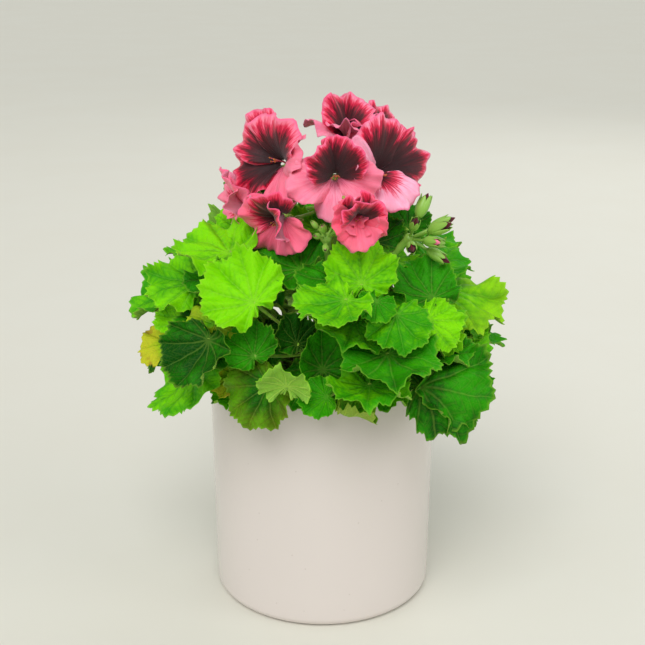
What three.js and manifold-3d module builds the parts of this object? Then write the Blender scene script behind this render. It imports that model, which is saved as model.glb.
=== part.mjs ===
// A potted regal geranium: a plant with toothed fan leaves, one full head of ruffled flowers and two
// clusters of buds, growing in a thin nursery pot that stands inside a straight glazed cover pot.
// Millimetres, +Z up, origin at the centre of the cover pot's foot. -Y is the front.
import * as THREE from "three";
import { mergeVertices } from "three/addons/utils/BufferGeometryUtils.js";
import Module from "manifold-3d";

const wasm = await Module();
wasm.setup();

// ---------------------------------------------------------------- driving dimensions
const CLEARANCE = 0.3; // between pieces that touch on the real plant

const COVER_POT = {
  height: 148,
  rimRadius: 70.5,
  taper: 1.5,
  wall: 4.5,
  floor: 6.5,
  footRound: 6,
  lipRound: 2.2,
};
// The nursery pot stays below the rim of the cover pot, with slack round its lip, and narrows by taper
// to its foot.
const NURSERY_POT = {
  belowRim: 33,
  slack: 5,
  taper: 13,
  wall: 1.2,
  floor: 1.6,
  lipWidth: 2.6,
  lipHeight: 5,
};
const DRAIN = { count: 6, radius: 4, circle: 0.68 }; // circle is a share of the nursery pot's foot radius
const SOIL = { belowRim: 5, dome: 3, shoulder: [0.75, 0.6], crown: 0.4, neckDepth: 9 };
const NECK = { radius: 6.5, topShare: 0.8, height: 16 };
const BRANCH = { radius: 2.8, sides: 8, steps: 7, kneeReach: 0.75, kneeRise: 0.15 };

const LEAF = { spokes: 16, rings: [0.55, 1], thickness: 0.8, notch: 0.14, fullness: 0.75, leastFlat: 0.3 };
// The stalk of a blade: how far it runs on from its foot, drifts back under the blade, and stops
// below the hub.
const STALK = {
  radius: 1.2,
  tip: 0.9,
  rings: 5,
  reach: 0.33,
  drift: 0.2,
  belowHub: 2.4,
  standOff: 0.6,
  climb: 0.5,
};
const FLOWER = { radius: 18.5, stalkRadius: 1, petals: 5, petalDip: 0.2, petalGap: 6, stalkDrop: 0.24 };
const UMBEL = { knobRadius: 3.4, stalkRadius: 2.2 };
const BUD = { length: 12, radius: 3.1, stalkLength: 10, stalkRadius: 0.9, variety: 0.3 };
// The places on a branch that can hold a leaf stalk, from one share of its length to another. A blade
// looks for one at a share of its own distance from the axis and a little lower down.
const HOLDS = { first: 0.2, last: 0.98, count: 9, inward: 0.42, below: 22 };

// Where the branches end: [bearing, reach, height above the soil]. A bearing turns from the front (-Y) to
// the right (+X), in degrees.
const BRANCH_TIPS = [
  [8, 34, 66],
  [42, 34, 70],
  [92, 32, 66],
  [140, 30, 72],
  [188, 30, 68],
  [236, 30, 72],
  [-78, 32, 68],
  [60, 5, 92],
];

// Each leaf: [name, where its stalk meets the blade, bearing and elevation that its upper face looks
// along, turn of its midrib clockwise from straight down, midrib length, cup of the margins, fold along
// the midrib]. That place is across and away as shares of the cover pot's rim radius, and millimetres
// above its rim. The order matters: an earlier leaf takes its room first, and a later one shifts or
// shrinks to keep clear of it.
const FRONT_LEAVES = [
  ["leaf_01", [-0.54, -1.16, 66], [-10, 38], 130, 32, 0.12, 0.1],
  ["leaf_02", [0.31, -1.02, 74], [5, 42], 178, 27, 0.12, 0],
  ["leaf_03", [0.57, -1.22, 60], [10, 42], -3, 24, 0.12, 0],
  ["leaf_04", [0.51, -1.25, 38], [0, 75], -5, 36, 0.12, 0.1],
  ["leaf_17", [0.37, -1.32, 22], [0, 84], 5, 30, 0.1, 0.1],
  ["leaf_05", [0.00, -1.14, 26], [15, 15], 180, 26, 0.4, 0.3],
  ["leaf_06", [0.78, -1.19, 17], [10, 55], -108, 43, 0.2, -0.75],
  ["leaf_07", [0.18, -1.22, 5], [60, 76], -30, 38, 0, 0.7],
  ["leaf_08", [-0.86, -0.96, 48], [-20, 72], 175, 26, 0.1, -0.15],
  ["leaf_09", [-0.86, -1.05, 40], [-35, 28], 8, 31, 0.35, 0.2],
  ["leaf_10", [-0.43, -1.22, 19], [-20, 20], 50, 28, 0, -0.1],
  ["leaf_11", [-0.30, -1.46, 17], [170, 30], 178, 21, -0.1, -0.3],
  ["leaf_12", [-0.54, -1.18, 35], [-8, 38], 150, 21, 0.15, 0.1],
  ["leaf_13", [-0.75, -0.71, 86], [-20, 74], 108, 33, 0.1, 0.1],
  ["leaf_14", [-0.18, -0.77, 77], [-12, 62], 112, 34, 0.1, 0.15],
  ["leaf_15", [-1.05, -0.48, 63], [-28, 58], 85, 31, 0.15, 0],
  ["leaf_16", [1.02, -0.20, 52], [30, 73], -72, 41, 0, -0.3],
  ["leaf_18", [0.03, -1.33, 15], [-8, 32], 75, 20, 0.2, 0.1],
  ["leaf_19", [0.18, -1.33, 71], [-15, 70], 38, 29, 0.1, 0.1],
  ["leaf_20", [0.84, -0.99, 52], [30, 42], -45, 22, 0.12, 0],
  ["leaf_21", [0.89, -0.77, 60], [20, 50], 165, 27, 0.1, 0.1],
  ["leaf_22", [0.88, -0.88, 22], [30, 78], -85, 32, 0.1, 0.1],
  ["leaf_23", [-1.12, -0.60, 46], [-35, 48], 110, 26, 0.15, 0],
  ["leaf_24", [-1.25, -0.50, 27], [-50, 66], 85, 26, 0, -0.2],
  ["leaf_25", [-0.72, -0.91, 17], [-40, 35], 40, 16, 0.1, 0.1],
  ["leaf_26", [-0.72, 0.14, 85], [-35, 55], 130, 20, 0.1, 0.1],
  ["leaf_27", [0.44, -0.50, 88], [15, 45], 175, 26, 0.1, 0.1],
  ["leaf_28", [-0.27, -0.91, 34], [35, 25], 175, 18, 0.1, 0.1],
  ["leaf_29", [1.35, -0.31, 28], [60, 35], 180, 16, 0.2, 0.2],
  ["leaf_30", [-0.55, -0.28, 80], [-20, 60], 120, 20, 0.1, 0],
  ["leaf_31", [-0.65, 0.21, 101], [-40, 35], 165, 21, 0.1, 0],
  ["leaf_32", [0.74, 0.07, 86], [20, 40], 190, 19, 0.1, 0],
  ["leaf_33", [0.41, -1.19, 66], [15, 42], 20, 15, 0.2, 0.1],
  ["leaf_34", [1.18, 0.31, 45], [40, 45], -150, 15, 0.1, 0.1],
  ["leaf_35", [1.28, -0.51, 3], [60, 40], -40, 17, 0.1, 0],
];
// The back of the plant: rings of leaves, [first bearing, step, count, reach as a share of the cover
// pot's rim radius, height above its rim, face elevation, length]. Neighbours differ by the amounts in
// BACK_VARIETY.
const BACK_RINGS = [
  [106, 29, 6, 1.19, 22, 50, 37],
  [124, 38, 4, 0.88, 56, 48, 36],
];
const BACK_VARIETY = { reach: 4, height: 7, turn: 24, look: 8, cup: 0.14, fold: 0.06 };

// Each flower: [name, throat, bearing and elevation that it looks along, turn of its upper petals, funnel].
// Throats and the tops of stalks are in millimetres, with their heights above the cover pot's rim.
const GOLDEN = { share: 0.618, angle: 137.5 }; // the steps of a spiral that never lines up with itself
const UMBEL_TOP = [8, -4, 102];
const UMBEL_BRANCH = 7;
const FLOWERS = [
  ["flower_1", [-23, -16, 131], [-40, 28], 165, 0.5],
  ["flower_2", [7, -40, 128], [0, 22], 180, 0.55],
  ["flower_3", [31, -28, 127], [30, 22], 225, 0.5],
  ["flower_4", [15, -2, 144], [10, 75], 180, 0.85],
  ["flower_5", [-23, -44, 105], [-25, -5], 190, 0.55],
  ["flower_6", [17, -50, 110], [8, 5], 180, 0.6],
  ["flower_7", [-43, -8, 102], [-80, 0], 180, 0.55],
  ["flower_8", [33, 8, 138], [60, 50], 180, 0.55],
];
// Each cluster of buds: [name, top of its stalk, bearing and elevation that it looks along, count, spread,
// number of the branch that carries it, size].
const BUD_CLUSTERS = [
  ["right", [50, -36, 90], [60, 25], 8, 68, 1, 1],
  ["centre", [2, -58, 96], [-10, 40], 6, 60, 0, 0.55],
];

// ---------------------------------------------------------------- materials
const finish = (color, roughness) => new THREE.MeshStandardMaterial({ color, roughness, metalness: 0 });
const GLAZE = finish(0xd8ccc4, 0.25);
const PLASTIC = finish(0x6b4232, 0.6);
const COMPOST = finish(0x2e2118, 0.95);
const STEM = finish(0x6f8a3a, 0.6);
const BLADE = finish(0x4fa31a, 0.5);
const PETAL = finish(0xe0506e, 0.55);
const SEPAL = finish(0x8fbf4a, 0.6);

// ---------------------------------------------------------------- helpers
const radians = THREE.MathUtils.degToRad;
const onPlant = ([x, y, z]) => new THREE.Vector3(x, y, COVER_POT.height + z);
const onCrown = ([x, y, z]) => onPlant([x * COVER_POT.rimRadius, y * COVER_POT.rimRadius, z]);

/** The unit vector along a bearing (from the front towards the right) and an elevation, in degrees. */
function along(bearing, elevation = 0) {
  const b = radians(bearing);
  const e = radians(elevation);
  return new THREE.Vector3(Math.cos(e) * Math.sin(b), -Math.cos(e) * Math.cos(b), Math.sin(e));
}

/** A closed geometry as a manifold-3d solid. */
function toSolid(geometry) {
  const bare = geometry.clone();
  bare.deleteAttribute("normal");
  bare.deleteAttribute("uv");
  const merged = mergeVertices(bare, 1e-4);
  return new wasm.Manifold(new wasm.Mesh({
    numProp: 3,
    vertProperties: new Float32Array(merged.attributes.position.array),
    triVerts: new Uint32Array(merged.index.array),
  }));
}

/** A manifold-3d solid as a geometry. */
function toGeometry(solid) {
  const mesh = solid.getMesh();
  const geometry = new THREE.BufferGeometry();
  geometry.setAttribute("position", new THREE.BufferAttribute(new Float32Array(mesh.vertProperties), 3));
  geometry.setIndex(new THREE.BufferAttribute(new Uint32Array(mesh.triVerts), 1));
  geometry.computeVertexNormals();
  return geometry;
}

/** A regular polygon as a shape, for the section of a tube. */
function section(radius, sides) {
  const turn = (2 * Math.PI) / sides;
  const corners = Array.from({ length: sides }, (_, i) =>
    new THREE.Vector2(radius * Math.cos(i * turn), radius * Math.sin(i * turn)));
  return new THREE.Shape(corners);
}

/** A closed tube along a curve. */
function tube(curve, radius, sides, steps) {
  const options = { steps, bevelEnabled: false, extrudePath: curve };
  return new THREE.ExtrudeGeometry(section(radius, sides), options);
}

/** An egg with its blunt end at base, pointing along axis. */
function egg(base, axis, length, radius) {
  const geometry = new THREE.SphereGeometry(1, 8, 6);
  geometry.scale(radius, length / 2, radius);
  geometry.translate(0, length / 2, 0);
  geometry.applyQuaternion(new THREE.Quaternion().setFromUnitVectors(new THREE.Vector3(0, 1, 0), axis));
  return geometry.translate(base.x, base.y, base.z);
}

/** All the geometries joined into one solid. */
function joined(geometries) {
  return geometries.map(toSolid).reduce((whole, next) => whole.add(next));
}

const plant = new THREE.Group();
plant.name = "potted_geranium";
const standing = []; // the solids already in place, which later pieces keep clear of

/** Adds a named sub-part and keeps its solid for the clearance tests. */
function place(name, geometry, material, solid = toSolid(geometry)) {
  const mesh = new THREE.Mesh(geometry, material);
  mesh.name = name;
  plant.add(mesh);
  standing.push({ solid, box: solid.boundingBox() });
}

/** Whether two boxes are further apart than the clearance. */
const apart = (a, b) =>
  [0, 1, 2].some((i) => a.min[i] > b.max[i] + CLEARANCE || b.min[i] > a.max[i] + CLEARANCE);

/** Whether a solid keeps the clearance to all that is already in place. */
function isClear(solid) {
  const box = solid.boundingBox();
  const clearOf = (other) => apart(box, other.box) || solid.minGap(other.solid, CLEARANCE) >= CLEARANCE;
  return standing.every(clearOf);
}

// ---------------------------------------------------------------- pots and soil
/** The points of a quarter round from one direction to the next, in a lathe profile. */
function round(cx, cy, radius, from, to, steps = 3) {
  return Array.from({ length: steps + 1 }, (_, i) => {
    const a = radians(from + ((to - from) * i) / steps);
    return new THREE.Vector2(cx + radius * Math.cos(a), cy + radius * Math.sin(a));
  });
}

/** A solid of revolution about +Z from a profile of (radius, height) points, counter-clockwise. */
function turned(profile, sides) {
  return new THREE.LatheGeometry(profile, sides).rotateX(Math.PI / 2);
}

/** Radius of the cover pot's inner wall at a height above its foot. */
const coverInside = (z) =>
  COVER_POT.rimRadius - COVER_POT.wall - COVER_POT.taper * (1 - z / COVER_POT.height);

function coverPot() {
  const { height, rimRadius, taper, wall, floor, footRound, lipRound } = COVER_POT;
  const footRadius = rimRadius - taper;
  const lip = Math.min(lipRound, wall / 2 - CLEARANCE / 2);
  const profile = [
    new THREE.Vector2(0, 0),
    ...round(footRadius - footRound, footRound, footRound, -90, 0),
    ...round(rimRadius - lip, height - lip, lip, 0, 90),
    ...round(rimRadius - wall + lip, height - lip, lip, 90, 180),
    ...round(coverInside(floor) - footRound, floor + footRound, footRound, 0, -90),
    new THREE.Vector2(0, floor),
  ];
  return turned(profile, 48);
}

const linerBase = COVER_POT.floor + CLEARANCE;
const linerRim = COVER_POT.height - NURSERY_POT.belowRim;
const linerHeight = linerRim - linerBase;
const linerRimRadius = coverInside(linerRim) - NURSERY_POT.slack - NURSERY_POT.lipWidth;
const linerFootRadius = linerRimRadius - NURSERY_POT.taper;
const soilRim = linerRim - SOIL.belowRim;
const soilTop = soilRim + SOIL.dome;

/** Outer radius of the nursery pot at a height above its own foot. */
const linerRadius = (h) => linerFootRadius + (NURSERY_POT.taper * h) / linerHeight;

function nurseryPot() {
  const { wall, floor, lipWidth, lipHeight } = NURSERY_POT;
  const underLip = linerHeight - lipHeight;
  const lip = linerRimRadius + lipWidth;
  const profile = [
    [0, 0],
    [linerFootRadius, 0],
    [linerRadius(underLip), underLip],
    [lip, underLip],
    [lip, linerHeight],
    [linerRimRadius - wall, linerHeight],
    [linerRadius(floor) - wall, floor],
    [0, floor],
  ].map(([r, h]) => new THREE.Vector2(r, h));
  const shell = toSolid(turned(profile, 32).translate(0, 0, linerBase));
  const holes = Array.from({ length: DRAIN.count }, (_, i) => {
    const at = along((360 * i) / DRAIN.count).multiplyScalar(DRAIN.circle * linerFootRadius);
    const drill = new THREE.CylinderGeometry(DRAIN.radius, DRAIN.radius, 3 * floor, 10).rotateX(Math.PI / 2);
    return toSolid(drill.translate(at.x, at.y, linerBase + floor / 2));
  });
  return holes.reduce((left, hole) => left.subtract(hole), shell);
}

function soil() {
  const { dome, shoulder, crown, neckDepth } = SOIL;
  const base = NURSERY_POT.floor + CLEARANCE;
  const inside = (h) => linerRadius(h) - NURSERY_POT.wall - CLEARANCE;
  const rim = soilRim - linerBase;
  const pocket = NECK.radius + CLEARANCE;
  const pocketFloor = rim + dome - neckDepth - CLEARANCE;
  const profile = [
    [0, base],
    [inside(base), base],
    [inside(rim), rim],
    [shoulder[0] * inside(rim), rim + shoulder[1] * dome],
    [crown * inside(rim), rim + dome],
    [pocket, rim + dome],
    [pocket, pocketFloor],
    [0, pocketFloor],
  ].map(([r, h]) => new THREE.Vector2(r, h));
  return turned(profile, 32).translate(0, 0, linerBase);
}

// ---------------------------------------------------------------- stem and branches
const neckTop = soilTop + NECK.height;

/** The curve of a branch, from the neck out and up to its tip. */
function branchCurve([bearing, reach, rise]) {
  const out = along(bearing);
  const start = new THREE.Vector3(0, 0, neckTop - NECK.radius);
  const tip = out.clone().multiplyScalar(reach).setZ(soilTop + rise);
  const knee = out.clone().multiplyScalar(BRANCH.kneeReach * reach).setZ(neckTop + BRANCH.kneeRise * rise);
  return new THREE.QuadraticBezierCurve3(start, knee, tip);
}

const branches = BRANCH_TIPS.map(branchCurve);

function stem() {
  const height = NECK.height + SOIL.neckDepth;
  const neck = new THREE.CylinderGeometry(NECK.topShare * NECK.radius, NECK.radius, height, 12);
  neck.rotateX(Math.PI / 2);
  neck.translate(0, 0, neckTop - height / 2);
  return joined([neck, ...branches.map((b) => tube(b, BRANCH.radius, BRANCH.sides, BRANCH.steps))]);
}

// ---------------------------------------------------------------- blades on stalks
/** Outline of a leaf: a broad fan, as a share of the midrib, notched where the stalk meets it. */
const fanOutline = (angle) => {
  const ahead = 0.5 + 0.5 * Math.cos(angle);
  return LEAF.notch + (1 - LEAF.notch) * Math.pow(ahead, LEAF.fullness);
};

/** Outline of a flower: rounded petals with shallow gaps between them. */
const petalOutline = (angle) => {
  const gap = Math.abs(Math.sin((FLOWER.petals * angle) / 2));
  return 1 - FLOWER.petalDip * Math.pow(gap, FLOWER.petalGap);
};

/** The axes of a blade: normal along its face, midrib turned clockwise from straight down, and side. */
function bladeAxes([bearing, elevation], turn) {
  const normal = along(bearing, elevation);
  const down = along(bearing, elevation - 90);
  const left = along(bearing - 90);
  const midrib = down.multiplyScalar(Math.cos(radians(turn)));
  midrib.addScaledVector(left, Math.sin(radians(turn)));
  return { normal, midrib, side: new THREE.Vector3().crossVectors(normal, midrib) };
}

/**
 * A point of a blade at a share of its outline and an angle from the midrib. The blade keeps its length
 * as it bends.
 */
function bladePoint(blade, share, angle) {
  const r = share * blade.outline(angle);
  const rise = blade.cup * r * r + blade.fold * r * Math.abs(Math.sin(angle)) * share;
  const flat = Math.sqrt(Math.max(r * r - rise * rise, (LEAF.leastFlat * r) ** 2));
  return blade.hub.clone()
    .addScaledVector(blade.axes.midrib, blade.length * flat * Math.cos(angle))
    .addScaledVector(blade.axes.side, blade.length * flat * Math.sin(angle))
    .addScaledVector(blade.axes.normal, blade.length * rise);
}

/**
 * A blade and its stalk as one closed geometry. The spokes run out from the hub, and the stalk leaves
 * below.
 */
function bladeOnStalk(blade, stalk) {
  const { spokes, rings, thickness } = LEAF;
  const sides = spokes / 2;
  const { normal, midrib } = blade.axes;
  const positions = [];
  const faces = [];
  const add = (p) => positions.push(p.x, p.y, p.z) / 3 - 1;
  const ringOf = (share, drop) => Array.from({ length: spokes }, (_, i) => {
    const p = bladePoint(blade, share, (2 * Math.PI * i) / spokes);
    return add(p.addScaledVector(normal, -drop));
  });
  const strip = (a, b) => a.forEach((_, i) => {
    const next = (i + 1) % a.length;
    faces.push(a[i], b[i], b[next], a[i], b[next], a[next]);
  });

  const hub = add(blade.hub.clone());
  const top = rings.map((share) => ringOf(share, 0));
  const under = rings.map((share) => ringOf(share, thickness)).reverse();
  top[0].forEach((p, i) => faces.push(hub, p, top[0][(i + 1) % spokes]));
  strip(top[0], top[1]);
  strip(top[1], under[0]);
  strip(under[0], under[1]);

  let across = midrib.clone();
  const loops = Array.from({ length: STALK.rings }, (_, k) => {
    const t = 1 - k / (STALK.rings - 1);
    const up = stalk.curve.getTangent(t);
    across = across.addScaledVector(up, -across.dot(up)).normalize();
    const aside = new THREE.Vector3().crossVectors(up, across);
    const radius = THREE.MathUtils.lerp(stalk.radius, STALK.tip * stalk.radius, t);
    return Array.from({ length: sides }, (_unused, i) => {
      const a = (2 * Math.PI * i) / sides;
      const p = stalk.curve.getPoint(t).addScaledVector(across, radius * Math.cos(a));
      return add(p.addScaledVector(aside, radius * Math.sin(a)));
    });
  });
  const inner = under[1];
  loops[0].forEach((s, k) => {
    const next = loops[0][(k + 1) % sides];
    const [a, b, c] = [inner[2 * k], inner[2 * k + 1], inner[(2 * k + 2) % spokes]];
    faces.push(a, s, b, s, next, b, b, next, c);
  });
  loops.slice(1).forEach((loop, k) => strip(loops[k], loop));
  const last = loops[STALK.rings - 1];
  const foot = add(stalk.curve.getPoint(0));
  last.forEach((s, i) => faces.push(foot, last[(i + 1) % sides], s));

  const geometry = new THREE.BufferGeometry();
  geometry.setAttribute("position", new THREE.Float32BufferAttribute(positions, 3));
  geometry.setIndex(faces);
  geometry.computeVertexNormals();
  return geometry;
}

/** The stalk of a blade: from a point that holds it, bowed aside, and up into the hub from below. */
function stalkCurve(blade, from, outward, bow, drop) {
  const { normal, midrib, side } = blade.axes;
  const end = blade.hub.clone().addScaledVector(normal, -STALK.belowHub * LEAF.thickness);
  const span = end.distanceTo(from);
  const near = from.clone().addScaledVector(outward, STALK.reach * span);
  const below = end.clone().addScaledVector(normal, -drop * span);
  below.addScaledVector(midrib, -STALK.drift * span).addScaledVector(side, bow);
  return new THREE.CubicBezierCurve3(from, near, below, end);
}

/** The first of the tries that keeps clear of all that stands already, or an error that names the piece. */
function firstClear(name, tries) {
  for (const make of tries) {
    const geometry = make();
    const solid = toSolid(geometry);
    if (isClear(solid)) return { geometry, solid };
  }
  throw new Error(name + " finds no room");
}

/** Every way to choose one value from each list, with the last list changing fastest. */
function combinations(lists) {
  return Object.entries(lists).reduce(
    (chosen, [key, values]) => chosen.flatMap((pick) => values.map((value) => ({ ...pick, [key]: value }))),
    [{}],
  );
}

// ---------------------------------------------------------------- leaves
// The changes tried in turn until a leaf keeps clear: its size, shifts along its face, how straight its
// stalk comes down, how far the stalk bows aside, and which of the nearest holds it grows from.
const LEAF_TRIES = {
  sizes: [1, 0.9, 0.8, 0.7, 0.6, 0.5, 0.4],
  shifts: [0, 3, -3, 6, -6, 9],
  drops: [0.24, 0.12, 0.03],
  bows: [0, 8, -8, 16, -16],
  holds: [0, 2, 4, 6],
};

/** Every place that can hold a leaf stalk: points along the branches, each with its own branch. */
const holds = branches.flatMap((curve) => Array.from({ length: HOLDS.count }, (_, i) => {
  const t = THREE.MathUtils.lerp(HOLDS.first, HOLDS.last, i / (HOLDS.count - 1));
  return { at: curve.getPoint(t), axis: curve.getTangent(t) };
}));

/** The holds nearest to where a blade's stalk comes from, below and inside its hub. */
function holdsFor(hub) {
  const inside = new THREE.Vector3(HOLDS.inward * hub.x, HOLDS.inward * hub.y, hub.z - HOLDS.below);
  return [...holds].sort((a, b) => a.at.distanceTo(inside) - b.at.distanceTo(inside));
}

/** The outer end of a hold on the side that faces a point, clear of the branch. */
function leaving(hold, towards) {
  const way = towards.clone().sub(hold.at);
  way.addScaledVector(hold.axis, -way.dot(hold.axis)).normalize();
  const away = BRANCH.radius + CLEARANCE + STALK.standOff * STALK.radius;
  const from = hold.at.clone().addScaledVector(way, away);
  return { from, outward: way.addScaledVector(new THREE.Vector3(0, 0, 1), STALK.climb).normalize() };
}

function leaf([name, at, face, turn, length, cup, fold]) {
  const axes = bladeAxes(face, turn);
  const nearest = holdsFor(onCrown(at));
  const tries = combinations(LEAF_TRIES).map(({ sizes, shifts, drops, bows, holds: rank }) => () => {
    const hub = onCrown(at).addScaledVector(axes.normal, shifts);
    const blade = { hub, axes, length: sizes * length, cup, fold, outline: fanOutline };
    const { from, outward } = leaving(nearest[rank], hub);
    const curve = stalkCurve(blade, from, outward, bows, drops);
    return bladeOnStalk(blade, { curve, radius: STALK.radius });
  });
  const found = firstClear(name, tries);
  place(name, found.geometry, BLADE, found.solid);
}

/** The rows of the leaves at the back, ring by ring. */
function backLeaves() {
  let number = FRONT_LEAVES.length;
  return BACK_RINGS.flatMap(([first, step, count, reach, height, elevation, length]) =>
    Array.from({ length: count }, (_, i) => {
      number += 1;
      const bearing = first + i * step;
      const inwards = (BACK_VARIETY.reach * (i % 2)) / COVER_POT.rimRadius;
      const hub = along(bearing).multiplyScalar(reach - inwards);
      hub.setZ(height + BACK_VARIETY.height * (i % 3));
      const look = bearing + BACK_VARIETY.look * (1 - 2 * (i % 2));
      const turn = BACK_VARIETY.turn * ((i % 3) - 1);
      const { cup, fold } = BACK_VARIETY;
      return ["leaf_" + number, hub.toArray(), [look, elevation], turn, length, cup, fold];
    }));
}

// ---------------------------------------------------------------- flowers and buds
const FLOWER_TRIES = {
  sizes: [1, 0.95, 0.9, 0.85, 0.8, 0.75, 0.65, 0.55, 0.45],
  shifts: [0, 3, -3, 6, 9, 12],
  bows: [0, 4, -4, 8, -8],
};

/** A knob on a stalk that grows on from the tip of a branch. */
function umbelStalk(top, branch) {
  const head = onPlant(top);
  const way = branches[branch].getTangent(1);
  const foot = branches[branch].getPoint(1).addScaledVector(way, CLEARANCE + BRANCH.radius);
  const knee = foot.clone().addScaledVector(way, 0.5 * head.distanceTo(foot));
  const curve = new THREE.QuadraticBezierCurve3(foot, knee, head);
  const knob = new THREE.SphereGeometry(UMBEL.knobRadius, 10, 8).translate(head.x, head.y, head.z);
  return [tube(curve, UMBEL.stalkRadius, 8, 8), knob];
}

function flower([name, at, face, turn, cup]) {
  const axes = bladeAxes(face, turn);
  const head = onPlant(UMBEL_TOP);
  const tries = combinations(FLOWER_TRIES).map(({ sizes, shifts, bows }) => () => {
    const hub = onPlant(at).addScaledVector(axes.normal, shifts);
    const blade = { hub, axes, length: sizes * FLOWER.radius, cup, fold: 0, outline: petalOutline };
    const outward = hub.clone().sub(head).normalize();
    const from = head.clone().addScaledVector(outward, UMBEL.knobRadius + FLOWER.stalkRadius);
    const curve = stalkCurve(blade, from, outward, bows, FLOWER.stalkDrop);
    return bladeOnStalk(blade, { curve, radius: FLOWER.stalkRadius });
  });
  const found = firstClear(name, tries);
  place(name, found.geometry, PETAL, found.solid);
}

/** The directions of a cluster's buds: a sunflower spiral over a cap round the way that it looks. */
function budDirections([bearing, elevation], count, spread) {
  const axis = along(bearing, elevation);
  const up = along(bearing, elevation + 90);
  const aside = new THREE.Vector3().crossVectors(axis, up);
  return Array.from({ length: count }, (_, i) => {
    const lean = radians(spread) * Math.sqrt(i / (count - 1));
    const spin = i * radians(GOLDEN.angle);
    return axis.clone().multiplyScalar(Math.cos(lean))
      .addScaledVector(up, Math.sin(lean) * Math.cos(spin))
      .addScaledVector(aside, Math.sin(lean) * Math.sin(spin));
  });
}

/** A cluster of buds, each on a short stalk of its own, on the knob of one umbel stalk. */
function budCluster([, top, face, count, spread, branch, scale]) {
  const centre = onPlant(top);
  const buds = budDirections(face, count, spread).flatMap((way, i) => {
    const size = scale * (1 - BUD.variety * ((i * GOLDEN.share) % 1));
    const end = centre.clone().addScaledVector(way, UMBEL.knobRadius + BUD.stalkLength * size);
    const stalk = new THREE.LineCurve3(centre, end.clone().addScaledVector(way, BUD.radius / 2));
    return [tube(stalk, BUD.stalkRadius, 6, 1), egg(end, way, BUD.length * size, BUD.radius * size)];
  });
  return joined([...umbelStalk(top, branch), ...buds]);
}

// ---------------------------------------------------------------- the whole plant
place("cover_pot", coverPot(), GLAZE);
place("nursery_pot", toGeometry(nurseryPot()), PLASTIC);
place("stem", toGeometry(stem()), STEM);
place("soil", soil(), COMPOST);
place("flower_stalk", toGeometry(joined(umbelStalk(UMBEL_TOP, UMBEL_BRANCH))), STEM);
BUD_CLUSTERS.forEach((cluster) => {
  place("bud_cluster_" + cluster[0], toGeometry(budCluster(cluster)), SEPAL);
});
FLOWERS.forEach(flower);
[...FRONT_LEAVES, ...backLeaves()].forEach(leaf);

export default plant;
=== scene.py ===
"""Looks of a potted regal geranium, laid out as a Blender add-on and run as a script.

Every leaf and flower is rebuilt from the cage of its CAD node: the place where its stalk meets the blade,
two rings of sixteen points round it, and the loops of its stalk. Metres, +Z up, -Y is the front.
"""

import math
import zlib

import bpy
import numpy as np
from bpy.props import FloatProperty, FloatVectorProperty, IntProperty, PointerProperty
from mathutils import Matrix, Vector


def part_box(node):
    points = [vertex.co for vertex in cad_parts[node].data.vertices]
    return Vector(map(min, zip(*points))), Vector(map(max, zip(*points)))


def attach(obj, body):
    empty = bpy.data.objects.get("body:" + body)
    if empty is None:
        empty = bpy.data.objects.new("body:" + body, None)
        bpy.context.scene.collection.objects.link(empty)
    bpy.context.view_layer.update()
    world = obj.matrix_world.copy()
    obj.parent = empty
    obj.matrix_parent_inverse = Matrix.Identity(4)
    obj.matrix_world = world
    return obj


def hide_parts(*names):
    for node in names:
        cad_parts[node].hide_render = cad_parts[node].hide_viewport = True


bl_info = {
    "name": "Potted geranium",
    "version": (1, 0, 0),
    "blender": (4, 5, 0),
    "location": "View3D > Sidebar > Geranium",
    "description": "Builds the visible pieces of a potted regal geranium round its CAD frame",
    "category": "Add Mesh",
}

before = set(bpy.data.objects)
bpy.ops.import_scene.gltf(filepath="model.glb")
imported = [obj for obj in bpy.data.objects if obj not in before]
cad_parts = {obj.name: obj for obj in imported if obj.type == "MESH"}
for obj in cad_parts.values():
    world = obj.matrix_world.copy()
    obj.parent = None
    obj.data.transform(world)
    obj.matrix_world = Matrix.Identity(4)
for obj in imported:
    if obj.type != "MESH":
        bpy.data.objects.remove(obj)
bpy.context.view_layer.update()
BODY = "root"
SPOKES = 16  # points in each ring of a blade's cage
INNER_SHARE = 0.55  # how far out the cage's inner ring lies
POT_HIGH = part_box("cover_pot")[1]
SOIL_LOW, SOIL_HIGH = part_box("soil")


# ---------------------------------------------------------------- meshes
def grid_faces(rows, columns, first=0, wrap=False):
    """Quads of a grid of points stored row by row from index first. With wrap the last column joins the
    first."""
    across = columns if wrap else columns - 1
    r, c = np.meshgrid(np.arange(rows - 1), np.arange(across), indexing="ij")
    a = first + r * columns + c
    b = first + r * columns + (c + 1) % columns
    return np.stack([a, a + columns, b + columns, b], -1).reshape(-1, 4)


def fan_faces(pole, ring, outward=True):
    """Triangles from one point to a closed ring of points."""
    following = np.roll(ring, -1)
    pair = (ring, following) if outward else (following, ring)
    return np.stack([np.full(len(ring), pole), *pair], -1)


def patch(points, quads=None, tris=None, material=0, uv=None, shade=None):
    """One closed shell of a piece: points, faces, material slot, and per point its uv and its shade."""
    count = len(points)
    return {
        "points": np.asarray(points, float),
        "quads": np.zeros((0, 4), int) if quads is None else np.asarray(quads),
        "tris": np.zeros((0, 3), int) if tris is None else np.asarray(tris),
        "material": material,
        "uv": np.zeros((count, 2)) if uv is None else np.asarray(uv, float),
        "shade": np.tile((0.5, 0.5, 0.0, 1.0), (count, 1)) if shade is None else np.asarray(shade, float),
    }


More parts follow.
